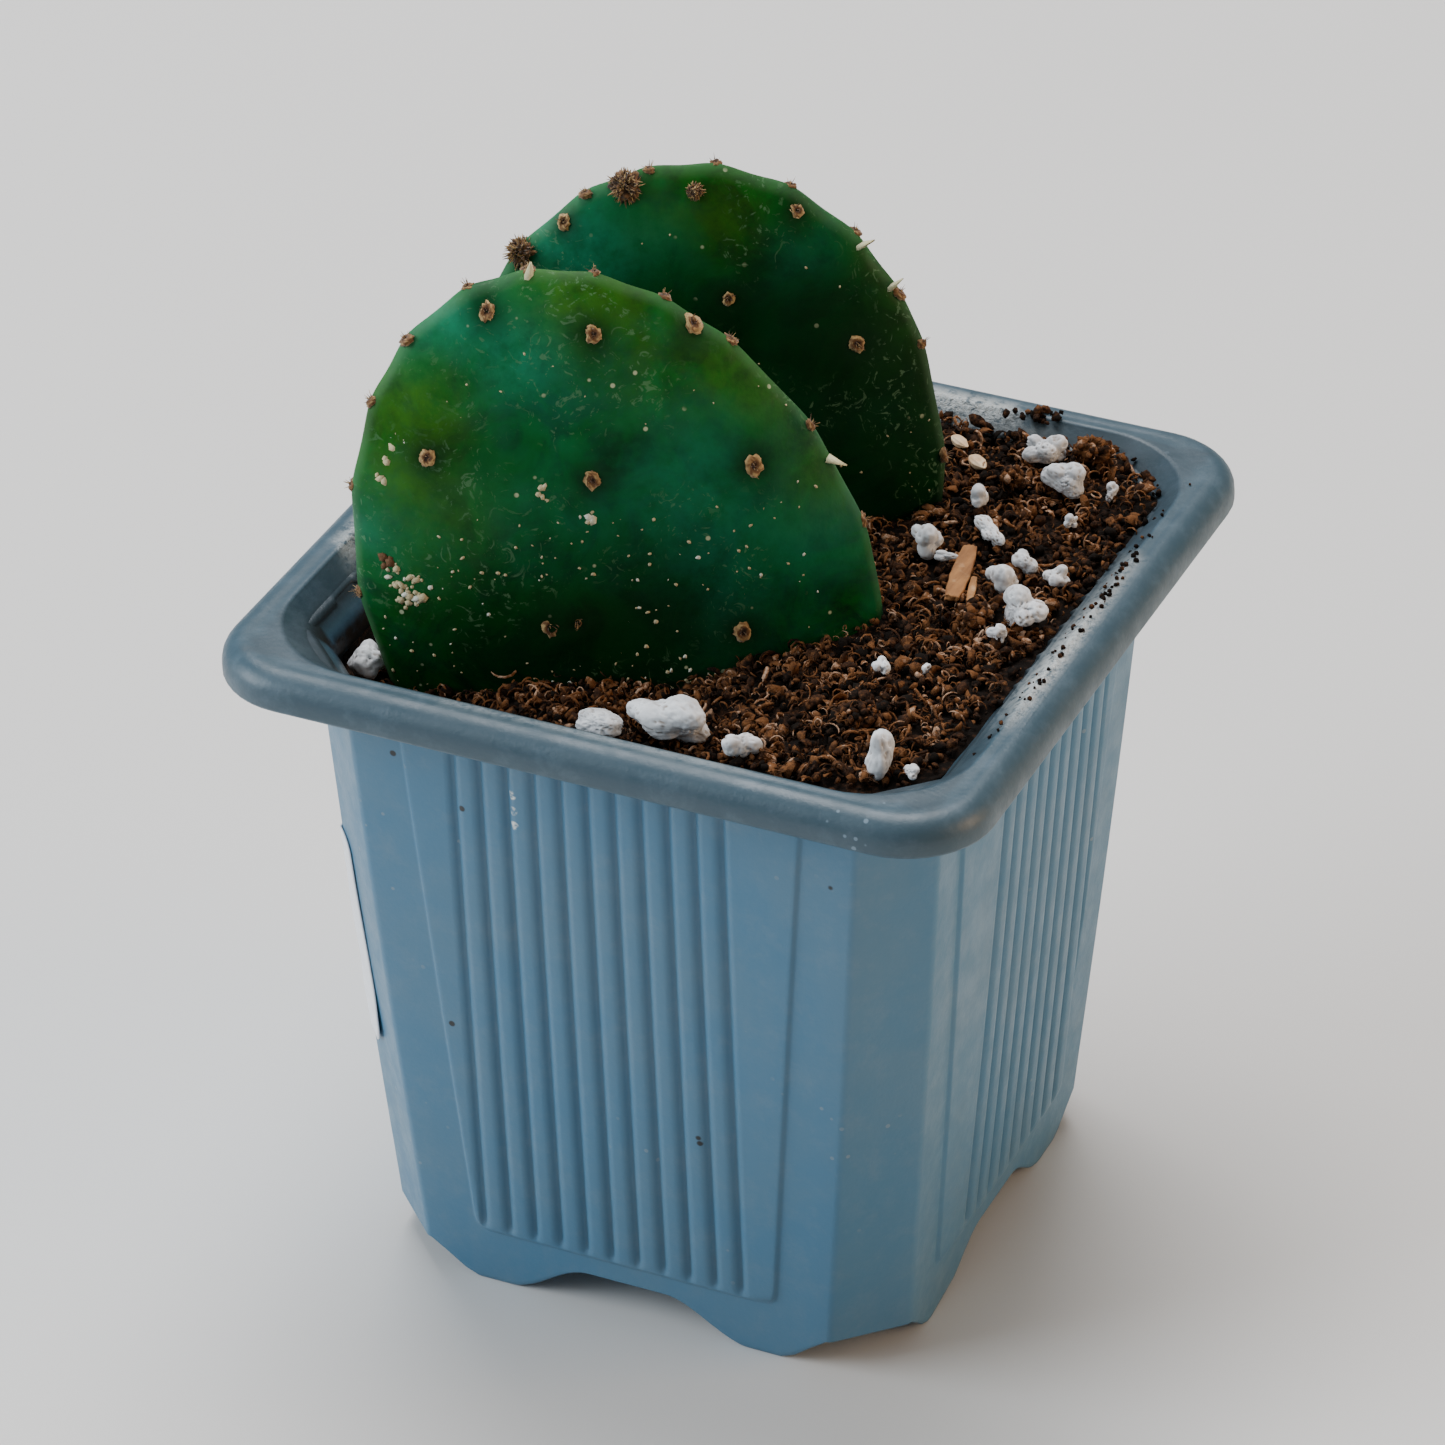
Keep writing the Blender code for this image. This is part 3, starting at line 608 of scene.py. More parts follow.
# Areoles sit in a diagonal lattice about 12 mm apart: (side, rise, width over the felt).
FRONT_AREOLES = [
    (-10.7, 30.2, 1.5), (-3.2, 28.5, 1.6), (4.0, 28.3, 1.6), (-15.3, 19.6, 1.5), (-3.6, 17.9, 1.6),
    (8.1, 18.1, 1.7), (-6.8, 6.3, 1.8), (7.1, 5.2, 1.7), (-4.9, 6.6, 1.1),
]
REAR_AREOLES = [
    (-27.3, 23.2, 1.3), (-10.3, 24.1, 1.3), (-15.3, 17.9, 1.2), (-5.9, 14.0, 1.5), (-24.0, 12.0, 1.4),
    (-12.5, 6.5, 1.4),
]
BACK_AREOLES = {
    "front": [(-13.0, 26.0, 1.5), (-4.5, 24.5, 1.6), (3.5, 22.0, 1.5), (-9.5, 15.0, 1.6), (2.5, 12.0, 1.6),
              (9.5, 10.5, 1.5), (-14.0, 9.0, 1.5), (-2.5, 3.5, 1.6)],
    "rear": [(-25.5, 17.5, 1.5), (-16.5, 19.0, 1.6), (-8.0, 17.0, 1.5), (-29.5, 8.0, 1.5),
             (-20.5, 9.5, 1.6), (-11.5, 8.0, 1.6), (-4.5, 4.0, 1.5)],
}
FRONT_MARGIN = [63, 78, 93, 112, 128, 146, 166, 188, 12, 33, 48, -8]
REAR_MARGIN = [28, 38, 52, 68, 84, 98, 112, 130, 146, 8, -10, 164]

# Colour patches, (side, rise, reach, strength): the bluish bloom with a painted sheen, yellowing where the
# skin is older, and painted shade low on the pads and where the front pad shades the rear one.
# Bluish bloom, with a painted sheen where the skin catches the light.
FRONT_BLOOM_AND_SHEEN = [
    (-8.4, 27.6, 3.6, 1.0), (3.6, 15.5, 7.0, 0.6), (-16.8, 27.5, 3.0, 0.5), (-19.5, 13.0, 2.5, 0.5),
    (6.0, 9.0, 4.0, 0.4), (-10.5, 15.5, 5.0, 0.3), (13.0, 11.5, 3.0, 0.35), (-13.6, 29.5, 2.0, 0.6),
]
FRONT_YELLOW = [
    (-15.8, 23.5, 4.0, 0.9), (-13.5, 15.0, 4.0, 0.5), (-3.0, 30.5, 4.0, 0.5), (1.0, 26.0, 5.0, 0.4),
    (-17.5, 17.5, 3.0, 0.6), (12.6, 16.0, 3.0, 0.45), (9.0, 23.0, 3.0, 0.4), (-16.5, 9.5, 4.0, 0.35),
    (-6.2, 31.5, 3.0, 0.6), (5.8, 25.0, 3.0, 0.3),
]
# Painted shade, darkest low on the front pad near the soil.
FRONT_PAINTED_SHADE = [
    (-1.0, 2.0, 11.0, 0.9), (-13.0, 4.0, 7.0, 0.6), (-11.4, 19.5, 1.6, 0.35), (2.0, 8.5, 6.0, 0.3),
]
REAR_BLOOM_AND_SHEEN = [
    (-25.0, 21.0, 3.6, 1.0), (-28.5, 22.5, 2.5, 0.6), (-9.8, 20.0, 2.8, 0.5), (-20.0, 22.5, 2.0, 0.5),
]
REAR_YELLOW = [
    (-15.5, 23.5, 3.0, 0.7), (-3.0, 20.0, 3.0, 0.5), (-1.8, 12.0, 2.5, 0.5), (-20.5, 24.5, 3.0, 0.5),
]
# Painted shadow of the front pad over the rear pad's lower part.
REAR_PAINTED_SHADE = [
    (-12.0, 8.0, 12.5, 1.2), (-4.0, 4.0, 9.0, 1.0), (-22.0, 14.0, 8.0, 0.6), (-8.0, 17.0, 4.0, 0.4),
]


def patch_sum(patches, side, rise):
    total = 0.0
    for x, y, reach, strength in patches:
        total += strength * math.exp(-((side - x) ** 2 + (rise - y) ** 2) / reach ** 2)
    return min(1.0, total)


def build_pad(name, pad, areoles, back_areoles, margin, bloom_and_sheen, yellow, painted_shade):
    """One pad's skin: an oval lens, slightly scalloped between the margin's areoles, with low tubercles."""
    bm = bmesh.new()
    bmesh.ops.create_uvsphere(bm, u_segments=PAD_SEGMENTS, v_segments=PAD_RINGS, radius=1.0)
    layers = {key: bm.verts.layers.float.new(key) for key in ("bloom_and_sheen", "yellow", "painted_shade", "margin", "areole_shade")}
    for vert in bm.verts:
        across, rise, thick = vert.co
        spread = math.hypot(across, rise)
        angle = math.degrees(math.atan2(rise, across))
        gaps = [(angle - mark + 180) % 360 - 180 for mark in margin]
        scallop = sum(math.exp(-((gap / SCALLOP_ANGLE) ** 2)) for gap in gaps)
        grow = 1 + SCALLOP_SHARE * (scallop - 0.45) * ease(0.8, 1.0, spread)
        side, up = pad.outline(across * grow, rise * grow)
        face = 1 if thick > 0 else -1
        depth = pad.depth(*pad.outline(across, rise), face)
        # Painted shade: a darker ring in the dimple round each areole.
        areole_shade = 0.0
        for x, y, width in areoles if face > 0 else back_areoles:
            gap = math.hypot(side - x, up - y)
            depth += TUBERCLE_HEIGHT / MM * math.exp(-((gap * MM / TUBERCLE_RADIUS) ** 2))
            depth -= AREOLE_DIMPLE / MM * math.exp(-((gap / (width * 0.55)) ** 2))
            areole_shade = max(areole_shade, math.exp(-((gap / (width * 1.05)) ** 2)))
        vert.co = pad.matrix @ (Vector((side, -face * depth, up)) * MM)
        for key, patches in (("bloom_and_sheen", bloom_and_sheen), ("yellow", yellow), ("painted_shade", painted_shade)):
            vert[layers[key]] = patch_sum(patches, side, up)
        vert[layers["margin"]] = ease(0.965, 0.995, spread)
        vert[layers["areole_shade"]] = areole_shade
    bmesh.ops.recalc_face_normals(bm, faces=bm.faces[:])
    obj = mesh_object(name, bm)
    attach(obj, "root")
    return obj


pad_front = build_pad(
    "front_pad_flesh", FRONT_PAD, FRONT_AREOLES, BACK_AREOLES["front"], FRONT_MARGIN,
    FRONT_BLOOM_AND_SHEEN, FRONT_YELLOW, FRONT_PAINTED_SHADE,
)
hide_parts("pad_front")
pad_rear = build_pad(
    "rear_pad_flesh", REAR_PAD, REAR_AREOLES, BACK_AREOLES["rear"], REAR_MARGIN,
    REAR_BLOOM_AND_SHEEN, REAR_YELLOW, REAR_PAINTED_SHADE,
)
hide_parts("pad_rear")

SKIN_GREEN = (0.003, 0.088, 0.007, 1.0)
SKIN_DEEP = (0.0008, 0.020, 0.004, 1.0)
SKIN_BLUE = (0.012, 0.230, 0.120, 1.0)
SKIN_YELLOW = (0.045, 0.160, 0.006, 1.0)
SKIN_PALE = (0.16, 0.30, 0.16, 1.0)
SKIN_AREOLE_SHADE = (0.004, 0.022, 0.007, 1.0)
FLECK_PALE = (0.50, 0.55, 0.34, 1.0)

skin = Shader("cactus_skin", 0.46, Specular_IOR_Level=0.06)
mottle = skin.ramp(skin.noise(190, 5, 0.66, 0.8), 0.38, 0.62)
skin.colour(skin.blend(mottle, SKIN_DEEP, SKIN_GREEN))
cloud = skin.ramp(skin.noise(90, 3, 0.6), 0.42, 0.68)
skin.coat(skin.times(cloud, 0.3), SKIN_BLUE)
skin.coat(skin.ramp(skin.noise(900, 4, 0.7, 0.5), 0.42, 0.72, 0.0, 0.45), SKIN_GREEN)
patchy = skin.ramp(skin.noise(420, 4, 0.7), 0.25, 0.7, 0.35, 1.0)
# Bluish bloom with a painted sheen on it.
skin.coat(skin.times(skin.value("bloom_and_sheen"), patchy), SKIN_BLUE)
skin.coat(skin.times(skin.value("yellow"), skin.times(patchy, 0.8)), SKIN_YELLOW)
# Painted shade: low on the pads, and the front pad's shadow on the rear one.
skin.coat(skin.times(skin.value("painted_shade"), 0.85), SKIN_DEEP)
threads = skin.ramp(skin.noise(640, 3, 0.65, 3.0), 0.58, 0.65, 0.0, 0.36)
scratched = skin.ramp(skin.noise(120, 2), 0.45, 0.65)
skin.coat(skin.times(threads, scratched), SKIN_PALE)
dots = skin.ramp(skin.cells(560), 0.07, 0.12, 1.0, 0.0)
some = skin.ramp(skin.noise(210, 2), 0.52, 0.62)
skin.coat(skin.times(dots, skin.times(some, 0.85)), FLECK_PALE)
# Painted shade round the areoles.
skin.coat(skin.times(skin.value("areole_shade"), 0.8), SKIN_AREOLE_SHADE)
skin.coat(skin.times(skin.value("margin"), 0.18), SKIN_PALE)
skin.roughness(skin.ramp(skin.noise(500, 3, 0.6), 0.3, 0.7, 0.34, 0.55))
skin.bump(skin.noise(1400, 3, 0.55), 0.05 * MM, 0.5)
skin.bump(skin.noise(350, 3, 0.5), 0.15 * MM, 0.5)
skin.paint([pad_front, pad_rear])


# ---------------------------------------------------------------------------
# Areoles: small oval cushions of beige felt with a dark brown middle, each holding a tuft of short barbed
# bristles. Those on the rear pad's top have swollen into brown, woolly knobs.


def place_on(point, out, spin=0.0):
    """A matrix whose Z is the direction out of the skin."""
    facing = out.to_track_quat("Z", "Y").to_matrix().to_4x4()
    return Matrix.Translation(point) @ facing @ Matrix.Rotation(spin, 4, "Z")


FELT_TONE = 0.62
FELT_PALEST = 0.8
FELT_OVAL = 1.2
FELT_HEIGHT = 0.40 * MM
BRISTLES = 12
MARGIN_BRISTLES = 8
KNOB_BRISTLES = 260
KNOBS = ((-30.5, 20.6, 2.7), (-22.8, 26.0, 2.9), (-17.7, 25.8, 1.5))


def new_tuft_mesh():
    bm = bmesh.new()
    return bm, bm.verts.layers.float.new("tone")


def add_felt(bm, tone, dice, matrix, width, height, grown=0.0):
    """A felt cushion: a flattened ball with a sunk, darker middle and a ragged edge."""
    made = bmesh.ops.create_uvsphere(bm, u_segments=18, v_segments=12, radius=1.0)["verts"]
    shift = dice.uniform(0, 50)
    for vert in made:
        reach = math.hypot(vert.co.x, vert.co.y)
        rough = 1 + 0.45 * noise.noise(vert.co * 2.6 + Vector((shift, 0, 0)))
        well = math.exp(-((reach / 0.42) ** 2)) if vert.co.z > 0 else 0.0
        patchy = 0.35 * noise.noise(vert.co * 3.7 + Vector((0, shift, 0)))
        shade = FELT_TONE * (1 - well) + patchy + dice.uniform(-0.12, 0.12) - grown * 0.3
        vert[tone] = clamp(shade, 0.0, FELT_PALEST)
        z = vert.co.z * (1 - 0.75 * well * (1 - grown)) * height * rough
        wide = width / 2 * rough
        vert.co = Vector((vert.co.x * wide, vert.co.y * wide * FELT_OVAL, z))
    bmesh.ops.transform(bm, matrix=matrix, verts=made)


def add_bristle(bm, tone, matrix, length, width, shade):
    made = bmesh.ops.create_cone(
        bm, cap_ends=True, segments=4, radius1=width / 2, radius2=width * 0.08, depth=length,
        matrix=Matrix.Translation((0, 0, length / 2)),
    )["verts"]
    for vert in made:
        vert[tone] = shade
    bmesh.ops.transform(bm, matrix=matrix, verts=made)


def lean_matrix(dice, spread):
    """A random tilt away from Z of up to 'spread' degrees."""
    way = dice.uniform(0, 2 * math.pi)
    return Matrix.Rotation(way, 4, "Z") @ Matrix.Rotation(math.radians(dice.uniform(0, spread)), 4, "Y")


def add_areole(bm, tone, dice, pad, side, rise, width, face):
    point, out = pad.surface(side, rise, face)
    matrix = place_on(point, out, dice.uniform(-0.3, 0.3))
    add_felt(bm, tone, dice, matrix, 0.86 * width * MM, FELT_HEIGHT)
    for _ in range(BRISTLES):
        across, along = dice.gauss(0, 0.14) * width, dice.gauss(0, 0.16) * width
        seat = Matrix.Translation((across * MM, along * MM, 0.05 * MM))
        length = dice.uniform(0.35, 0.8) * MM
        place = matrix @ seat @ lean_matrix(dice, 38)
        add_bristle(bm, tone, place, length, 0.10 * MM, dice.uniform(0.15, 0.6))


def round_the_rim(angle):
    return math.cos(math.radians(angle)), math.sin(math.radians(angle))


def add_margin_areole(bm, tone, dice, pad, angle, size):
    """A small tuft on the pad's rim, at an angle round its outline."""
    across, rise = round_the_rim(angle)
    edge = Vector(pad.outline(across, rise))
    inner = Vector(pad.outline(across * 0.9, rise * 0.9))
    way = (edge - inner).normalized()
    out = (pad.matrix.to_3x3() @ Vector((way.x, 0, way.y))).normalized()
    point = pad.matrix @ (Vector((edge.x, dice.uniform(-0.5, 0.3), edge.y)) * MM)
    matrix = place_on(point, out)
    add_felt(bm, tone, dice, matrix, size * MM, 0.35 * MM, 0.5)
    for _ in range(MARGIN_BRISTLES):
        place = matrix @ lean_matrix(dice, 55)
        add_bristle(bm, tone, place, dice.uniform(0.4, 0.9) * MM, 0.11 * MM, dice.uniform(0.2, 0.8))


def add_knob(bm, tone, dice, point, out, size):
    """A woolly knob: a lumpy core hidden under short bristles that stand out all round."""
    matrix = place_on(point, out)
    made = bmesh.ops.create_icosphere(bm, subdivisions=4, radius=0.5)["verts"]
    shift = Vector((dice.uniform(0, 50), 0, 0))
    for vert in made:
        rough = 0.85 + 0.5 * noise.noise(vert.co * 5 + shift) + 0.22 * noise.noise(vert.co * 15 + shift)
        vert[tone] = clamp(0.25 + 0.5 * noise.noise(vert.co * 9 + shift), 0.0, 0.7)
        vert.co *= rough * size * 0.8 * MM
        vert.co.z *= 0.75
    bmesh.ops.transform(bm, matrix=matrix, verts=made)
    for _ in range(KNOB_BRISTLES):
        turned = matrix @ lean_matrix(dice, 120)
        start = turned @ Matrix.Translation((0, 0, size * dice.uniform(0.22, 0.36) * MM))
        length = dice.uniform(0.10, 0.24) * size * MM
        add_bristle(bm, tone, start @ lean_matrix(dice, 50), length, 0.17 * MM, dice.uniform(0.05, 0.8))


def add_bud_scale(bm, tone, dice, pad, angle, length, lean):
    """A withered, ivory leaf point standing on the rim."""
    across, rise = round_the_rim(angle)
    edge = Vector(pad.outline(across * 0.99, rise * 0.99))
    way = Vector((across, rise)).normalized()
    out = (pad.matrix.to_3x3() @ Vector((way.x, -0.4, way.y))).normalized()
    matrix = place_on(pad.matrix @ (Vector((edge.x, -0.4, edge.y)) * MM), out)
    made = bmesh.ops.create_cone(
        bm, cap_ends=True, segments=7, radius1=0.30 * MM, radius2=0.03 * MM, depth=length * MM,
        matrix=Matrix.Translation((0, 0, length * 0.42 * MM)),
    )["verts"]
    for vert in made:
        vert[tone] = 1.0
        vert.co.x *= 1.7
        vert.co += Vector((dice.uniform(-0.05, 0.05), dice.uniform(-0.05, 0.05), 0)) * MM
    bmesh.ops.transform(bm, matrix=matrix @ Matrix.Rotation(math.radians(lean), 4, "X"), verts=made)


dice = random.Random(41)
tufts = []
for name, pad, front, back, margin, knobs, scales in (
    ("front", FRONT_PAD, FRONT_AREOLES, BACK_AREOLES["front"], FRONT_MARGIN, (),
     ((5, 1.5, 20), (78, 1.4, -10))),
    ("rear", REAR_PAD, REAR_AREOLES, BACK_AREOLES["rear"], REAR_MARGIN, KNOBS,
     ((50, 1.6, 12), (40, 1.5, -8))),
):
    bm, tone_layer = new_tuft_mesh()
    for face, places in ((1, front), (-1, back)):
        for side, rise, width in places:
            add_areole(bm, tone_layer, dice, pad, side, rise, width, face)
    for angle in margin:
        add_margin_areole(bm, tone_layer, dice, pad, angle, dice.uniform(0.7, 1.1))
    for side, rise, size in knobs:
        add_knob(bm, tone_layer, dice, *pad.surface(side, rise, 1), size)
    for angle, length, lean in scales:
        add_bud_scale(bm, tone_layer, dice, pad, angle, length, lean)
    bmesh.ops.recalc_face_normals(bm, faces=bm.faces[:])
    tufts.append(mesh_object(f"{name}_pad_areoles", bm))

FELT_DARK = (0.030, 0.013, 0.005, 1.0)
FELT_BROWN = (0.155, 0.070, 0.022, 1.0)
FELT_BEIGE = (0.46, 0.30, 0.12, 1.0)
SCALE_IVORY = (0.72, 0.66, 0.38, 1.0)

felt = Shader("areole_felt", 0.9, Sheen_Weight=0.2)
shade = felt.uneven("tone", felt.noise(2400, 3), 0.4, 0.2)
felt.colour(felt.blend(felt.ramp(shade, 0.05, 0.4), FELT_DARK, FELT_BROWN))
felt.coat(felt.ramp(shade, 0.4, 0.72), FELT_BEIGE)
felt.coat(felt.ramp(shade, 0.85, 1.0), SCALE_IVORY)
felt.bump(felt.noise(5200, 3), 0.08 * MM, 0.8)
felt.paint(tufts)
for tuft in tufts:
    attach(tuft, "root")


# ---------------------------------------------------------------------------
# Scars and dust: corky beige scabs on the skin where it was bruised, and flecks of perlite dust and dried
# splashes that stuck to it at planting, thickest near the soil.

# Each scab: (side, rise, reach, number of chips, tone).
CORKY_PLACES = [
    (-18.6, 11.2, 0.8, 8, 0.25), (-17.6, 9.8, 1.3, 16, 0.75), (-16.6, 8.9, 1.2, 16, 0.95),
    (-17.0, 8.2, 0.8, 8, 0.9), (-17.6, 20.9, 0.5, 5, 0.95), (-17.1, 20.2, 0.6, 6, 0.95),
    (-18.2, 18.9, 0.35, 3, 0.8), (-18.7, 17.6, 0.4, 4, 0.85), (-3.9, 14.9, 0.45, 5, 0.95),
    (-3.7, 15.6, 0.3, 3, 0.9), (-7.2, 17.3, 0.35, 3, 0.85), (-7.0, 16.6, 0.3, 3, 0.8),
]
SPLASH_FLECKS = 260
HIGH_FLECKS = 60
BACK_FLECKS = 60
REAR_FLECKS = 70
SKIN_EDGE = 0.985


def add_fleck(bm, tone, dice, pad, side, rise, size, shade, face=1):
    """A thin, ragged chip lying flat on the skin."""
    if math.hypot(*pad.unit(side, rise)) > SKIN_EDGE:
        return
    point, out = pad.surface(side, rise, face)
    made = bmesh.ops.create_icosphere(bm, subdivisions=1, radius=0.5)["verts"]
    for vert in made:
        vert.co *= dice.uniform(0.7, 1.25)
        vert[tone] = shade
    stretch = Matrix.Diagonal((size * dice.uniform(0.5, 1.0) * MM, size * MM, size * 0.32 * MM, 1))
    bmesh.ops.transform(bm, matrix=place_on(point, out, dice.uniform(0, math.pi)) @ stretch, verts=made)


bm, tone_layer = new_tuft_mesh()


def front_fleck(side, rise, size, shade, face=1):
    add_fleck(bm, tone_layer, dice, FRONT_PAD, side, rise, size, shade, face)


for side, rise, reach, count, shade in CORKY_PLACES:
    for _ in range(count):
        x, y = side + dice.gauss(0, reach * 0.5), rise + dice.gauss(0, reach * 0.5)
        front_fleck(x, y, dice.uniform(0.35, 0.95), shade * dice.uniform(0.7, 1.05))
for _ in range(SPLASH_FLECKS):
    side, rise = dice.uniform(-19, 13), -0.5 + 15 * dice.random() ** 2.2
    rise += 0.5 + 0.12 * (side + 5)
    shade = dice.choice((0.55, 0.7, 0.85, 1.0))
    front_fleck(side, rise, dice.uniform(0.16, 0.5) ** 1.2, shade)
for _ in range(HIGH_FLECKS):
    side, rise = dice.uniform(-18, 12), dice.uniform(9, 30)
    front_fleck(side, rise, dice.uniform(0.12, 0.26), dice.choice((0.6, 0.8)))
for _ in range(BACK_FLECKS):
    side, rise = dice.uniform(-17, 12), 10 * dice.random()
    front_fleck(side, rise, dice.uniform(0.14, 0.4), dice.choice((0.6, 0.8)), -1)
for face in (1, -1):
    for _ in range(REAR_FLECKS):
        side, rise = dice.uniform(-34, 0), dice.uniform(0, 24)
        size, shade = dice.uniform(0.12, 0.3), dice.choice((0.5, 0.7))
        add_fleck(bm, tone_layer, dice, REAR_PAD, side, rise, size, shade, face)
flecks = mesh_object("pad_scars_and_dust", bm)

CORK_BROWN = (0.13, 0.055, 0.018, 1.0)
CORK_BEIGE = (0.52, 0.44, 0.25, 1.0)
DUST_WHITE = (0.72, 0.74, 0.62, 1.0)

cork = Shader("corky_scar", 0.85)
shade = cork.uneven("tone", cork.noise(2600, 3), 0.3, 0.15)
cork.colour(cork.blend(cork.ramp(shade, 0.25, 0.6), CORK_BROWN, CORK_BEIGE))
cork.coat(cork.ramp(shade, 0.8, 1.0), DUST_WHITE)
cork.bump(cork.noise(4000, 3), 0.06 * MM, 0.7)
cork.paint([flecks])
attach(flecks, "root")


# ---------------------------------------------------------------------------
# Label: a blank white paper sticker wrapped round the -X wall and on to the front corner facet. It is glued
# on by hand; the front end has begun to lift and curl at its lower corner.

LABEL_LOW = 18.6 * MM
LABEL_HIGH = 37.2 * MM
LABEL_BACK = 10.0 * MM
LABEL_WRAP = 2.4 * MM
LABEL_CORNER = 1.6 * MM
LABEL_THICK = 0.11 * MM
LABEL_STAND = 0.07 * MM
LABEL_CURL = 0.22 * MM
LABEL_COLUMNS = 56
LABEL_ROWS = 36

PAPER_WHITE = (0.94, 0.94, 0.96, 1.0)
PAPER_FIBRE = (0.88, 0.89, 0.93, 1.0)
PAPER_SMUDGE = (0.55, 0.52, 0.46, 1.0)

bm = bmesh.new()
bmesh.ops.create_grid(bm, x_segments=LABEL_COLUMNS, y_segments=LABEL_ROWS, size=1.0)
label_middle = (LABEL_LOW + LABEL_HIGH) / 2
label_half = (LABEL_HIGH - LABEL_LOW) / 2
crease = wall_half(label_middle) - CORNER_LEG
label_run = LABEL_BACK + crease + LABEL_WRAP
for vert in bm.verts:
    along = (vert.co.x + 1) / 2 * label_run
    up = vert.co.y * label_half
    end = min(along, label_run - along)
    high = label_half - abs(up)
    if end < LABEL_CORNER and high < LABEL_CORNER:
        gap = Vector((LABEL_CORNER - end, LABEL_CORNER - high))
        reach = max(gap)
        if gap.length > 0:
            gap *= reach / gap.length
        along = LABEL_CORNER - gap.x if along < label_run / 2 else label_run - LABEL_CORNER + gap.x
        up = math.copysign(label_half - LABEL_CORNER + gap.y, up)
    z = label_middle + up
    half = wall_half(z)
    turn_at = half - CORNER_LEG
    y = LABEL_BACK - along
    past = max(0.0, -turn_at - y) / math.sqrt(2)
    lift = LABEL_STAND + 0.03 * MM * noise.noise(Vector((along, z, 0)) * 150)
    lift += PANEL_PROUD * (1 - ease(panel_half(z), panel_half(z) + 1.5 * MM, abs(y)))
    lift += LABEL_CURL * ease(label_run - 2.5 * MM, label_run, along) * ease(0.4, 1.0, -vert.co.y)
    if past > 0:
        place = Vector((-half + past, -turn_at - past, z)) - Vector((1, 1, 0)).normalized() * lift
    else:
        place = Vector((-half - lift, y, z))
    vert.co = place
label = mesh_object("label_sheet", bm)
card = label.modifiers.new("thickness", "SOLIDIFY")
card.thickness = LABEL_THICK
card.offset = 1.0
apply_modifiers(label)

paper = Shader("label_paper", 0.55)
fibres = paper.ramp(paper.noise(1600, 4, 0.65), 0.3, 0.7)
paper.colour(paper.blend(fibres, PAPER_FIBRE, PAPER_WHITE))
paper.coat(paper.ramp(paper.noise(160, 3), 0.55, 0.8, 0.0, 0.25), PAPER_SMUDGE)
paper.bump(paper.noise(2600, 3), 0.02 * MM, 0.5)
paper.paint([label])
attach(label, "root")
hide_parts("label")


# ---------------------------------------------------------------------------
# Soil: coarse peat mix. Under the loose top lies one dark, lumpy plug that fills the pot; over it lie
# crumbs, torn peat flakes and curled fibres, pale brown where they have dried.

SOIL_LEVEL = 54.4 * MM
SOIL_RISE = (0.015, 0.03)
# Hollows in the soil: (x, y, radius, depth).
SOIL_DIPS = [
    (-20.0, -18.0, 11.0, 3.6), (0.0, -12.0, 7.0, 2.2), (5.0, -20.0, 6.0, 1.3), (-24.0, 4.0, 9.0, 1.6),
]
SOIL_CELLS = 170
SOIL_LUMPS = 330
SOIL_GAP = 0.15 * MM
PLUG_SUNK = 0.45 * MM
PLUG_ROWS = (THROAT - 1.2 * MM, FLOOR_TOP + 0.3 * MM)
CRUMBS = 3600
FLAKES = 3000
FIBRES = 2200
RIM_CRUMBS = 110
RIM_CLOT_CRUMBS = 26
CRUMB_KINDS = 9
DRY_PATCHES = 160
FRAGMENT_KINDS = 10


def soil_height(x, y):
    height = SOIL_LEVEL + SOIL_RISE[0] * x + SOIL_RISE[1] * y
    for cx, cy, radius, depth in SOIL_DIPS:
        height -= depth * MM * math.exp(-((x / MM - cx) ** 2 + (y / MM - cy) ** 2) / radius ** 2)
    return height


def soil_half(z):
    """Half the soil's width at a height, just clear of the wall and of its flared mouth."""
    half = wall_half(min(z, THROAT)) - WALL
    return half + (LIP_HALF - half) * ease(THROAT, POT_HEIGHT, z) - SOIL_GAP


def corner_share(x, y):
    """How far to draw a point of a square in, so that the square's corners come out round."""
    large, small = max(abs(x), abs(y)), min(abs(x), abs(y))
    if large == 0:
        return 1.0
    slope = small / large
    straight = 1 - LIP_CORNER / LIP_HALF
    if slope <= straight:
        return 1.0
    total = straight * (1 + slope)
    rest = total ** 2 - (1 + slope ** 2) * (2 * straight ** 2 - (1 - straight) ** 2)
    return (total + math.sqrt(max(0.0, rest))) / (1 + slope ** 2)


bm = bmesh.new()
bmesh.ops.create_grid(bm, x_segments=SOIL_CELLS, y_segments=SOIL_CELLS, size=1.0)
for vert in bm.verts:
    share = corner_share(vert.co.x, vert.co.y)
    x, y = vert.co.x * share, vert.co.y * share
    half = soil_half(soil_height(x * LIP_HALF, y * LIP_HALF))
    x, y = x * half, y * half
    level = soil_height(x, y)
    inside = 1 - ease(0.93, 1.0, max(abs(vert.co.x), abs(vert.co.y)))
    lumps = noise.noise(Vector((x, y, 0)) * SOIL_LUMPS) * 0.5
    lumps += noise.noise(Vector((x, y, 5)) * 1100) * 0.35
    vert.co = Vector((x, y, level - PLUG_SUNK + lumps * MM * (0.4 + 0.6 * inside)))
lip = [edge for edge in bm.edges if edge.is_boundary]
